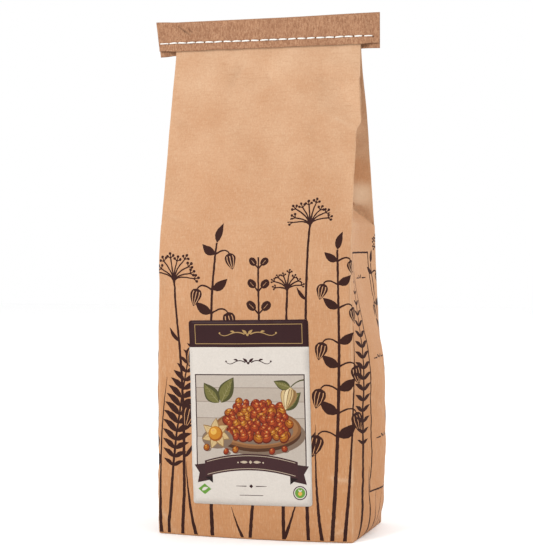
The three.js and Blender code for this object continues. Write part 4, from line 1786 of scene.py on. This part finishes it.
def sewing_thread():
    route, _ = resample(stitch_route(), THREAD_STEP)
    route, places = resample(smoothed(route, 2), THREAD_STEP)
    ahead = unit(np.gradient(route, axis=0))
    up = np.array([0.0, 0.0, 1.0])
    across = unit(up - ahead * ahead[:, 2:])
    over = np.cross(ahead, across)
    plump = THREAD_THIN + (1 - THREAD_THIN) * ease((-tape_face(0), -tape_face(0) - 0.6), route[:, 1])
    shell = Shell()
    for ply in range(PLIES):
        angle = places * 2 * math.pi / TWIST_PITCH + ply * 2 * math.pi / PLIES
        around = across * np.cos(angle)[:, None] + over * np.sin(angle)[:, None]
        strand = route + PLY_OFFSET * plump[:, None] * around
        shell.add(*tube_along(strand, PLY_RADIUS * plump, 6))
    return make_piece("chain_stitch_thread", shell.points, shell.faces, [thread_material()])


# The filling

FILLING_CLEARANCE = 1.4
FILLING_LOW = 1.8
FILLING_EDGE_Z = 243
FILLING_DOME = 11
FILLING_GRID = 3
TOP_RINGS = 16

# The berries' lumps: how tall and how long, at the sides and on top
SIDE_LUMP = 1.6
SIDE_LUMP_LENGTH = 8
TOP_LUMP = 2.2
TOP_LUMP_LENGTH = 9


def dried_berries():
    """The heap inside, lumpy with berries where it presses against the paper and on its domed top."""
    columns = np.array(steps(-HALF_ROUND, HALF_ROUND, FILLING_GRID)[:-1])
    rings = []
    for z in [FILLING_LOW] + steps(4, FILLING_EDGE_Z, FILLING_GRID):
        heights = np.full(len(columns), z)
        lumps = SIDE_LUMP * np.abs(waves(columns / SIDE_LUMP_LENGTH, heights / SIDE_LUMP_LENGTH, 31))
        ring = skin(columns, heights, -FILLING_CLEARANCE - lumps)
        ring[:, 2] = z
        rings.append(ring)
    rim = rings[-1]
    for i in range(1, TOP_RINGS):
        scale = 1 - i / TOP_RINGS
        ring = rim * np.array([scale, scale, 1])
        x, y = ring[:, 0] / TOP_LUMP_LENGTH, ring[:, 1] / TOP_LUMP_LENGTH
        lumps = TOP_LUMP * (0.5 - np.abs(waves(x, y, 33))) * (1 - scale**4)
        ring[:, 2] = FILLING_EDGE_Z + FILLING_DOME * (1 - scale**2) + lumps
        rings.append(ring)
    count, last = len(columns), (len(rings) - 1) * len(columns)
    points = np.concatenate(rings + [[[0, 0, FILLING_LOW], [0, 0, FILLING_EDGE_Z + FILLING_DOME + 1]]])
    faces = ring_faces(len(rings), count)
    for j in range(count):
        k = (j + 1) % count
        faces += [[k, j, len(points) - 2], [last + j, last + k, len(points) - 1]]
    return make_piece("dried_berry_filling", points, faces, [berry_material()])


def studio_floor():
    mesh = bpy.data.meshes.new("studio_floor")
    corners = [(x, y, -FLOOR_GAP) for x, y in rectangle(-FLOOR_HALF, -FLOOR_HALF, FLOOR_HALF, FLOOR_HALF)]
    mesh.from_pydata(corners, [], [(0, 1, 2, 3)])
    mesh.materials.append(floor_material())
    floor = bpy.data.objects.new("studio_floor", mesh)
    bpy.context.collection.objects.link(floor)


place_camera()
light_scene()
studio_floor()
for make, node, slot in (
    (paper_bag, "paper_bag", "kraft_paper"),
    (front_label, "front_label", "label_paper"),
    (closure_tape, "closure_tape", "crepe_tape"),
    (sewing_thread, "sewing_thread", "thread"),
    (dried_berries, "dried_berries", "dried_fruit"),
):
    piece = make()
    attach(piece, "root")
    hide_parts(node)
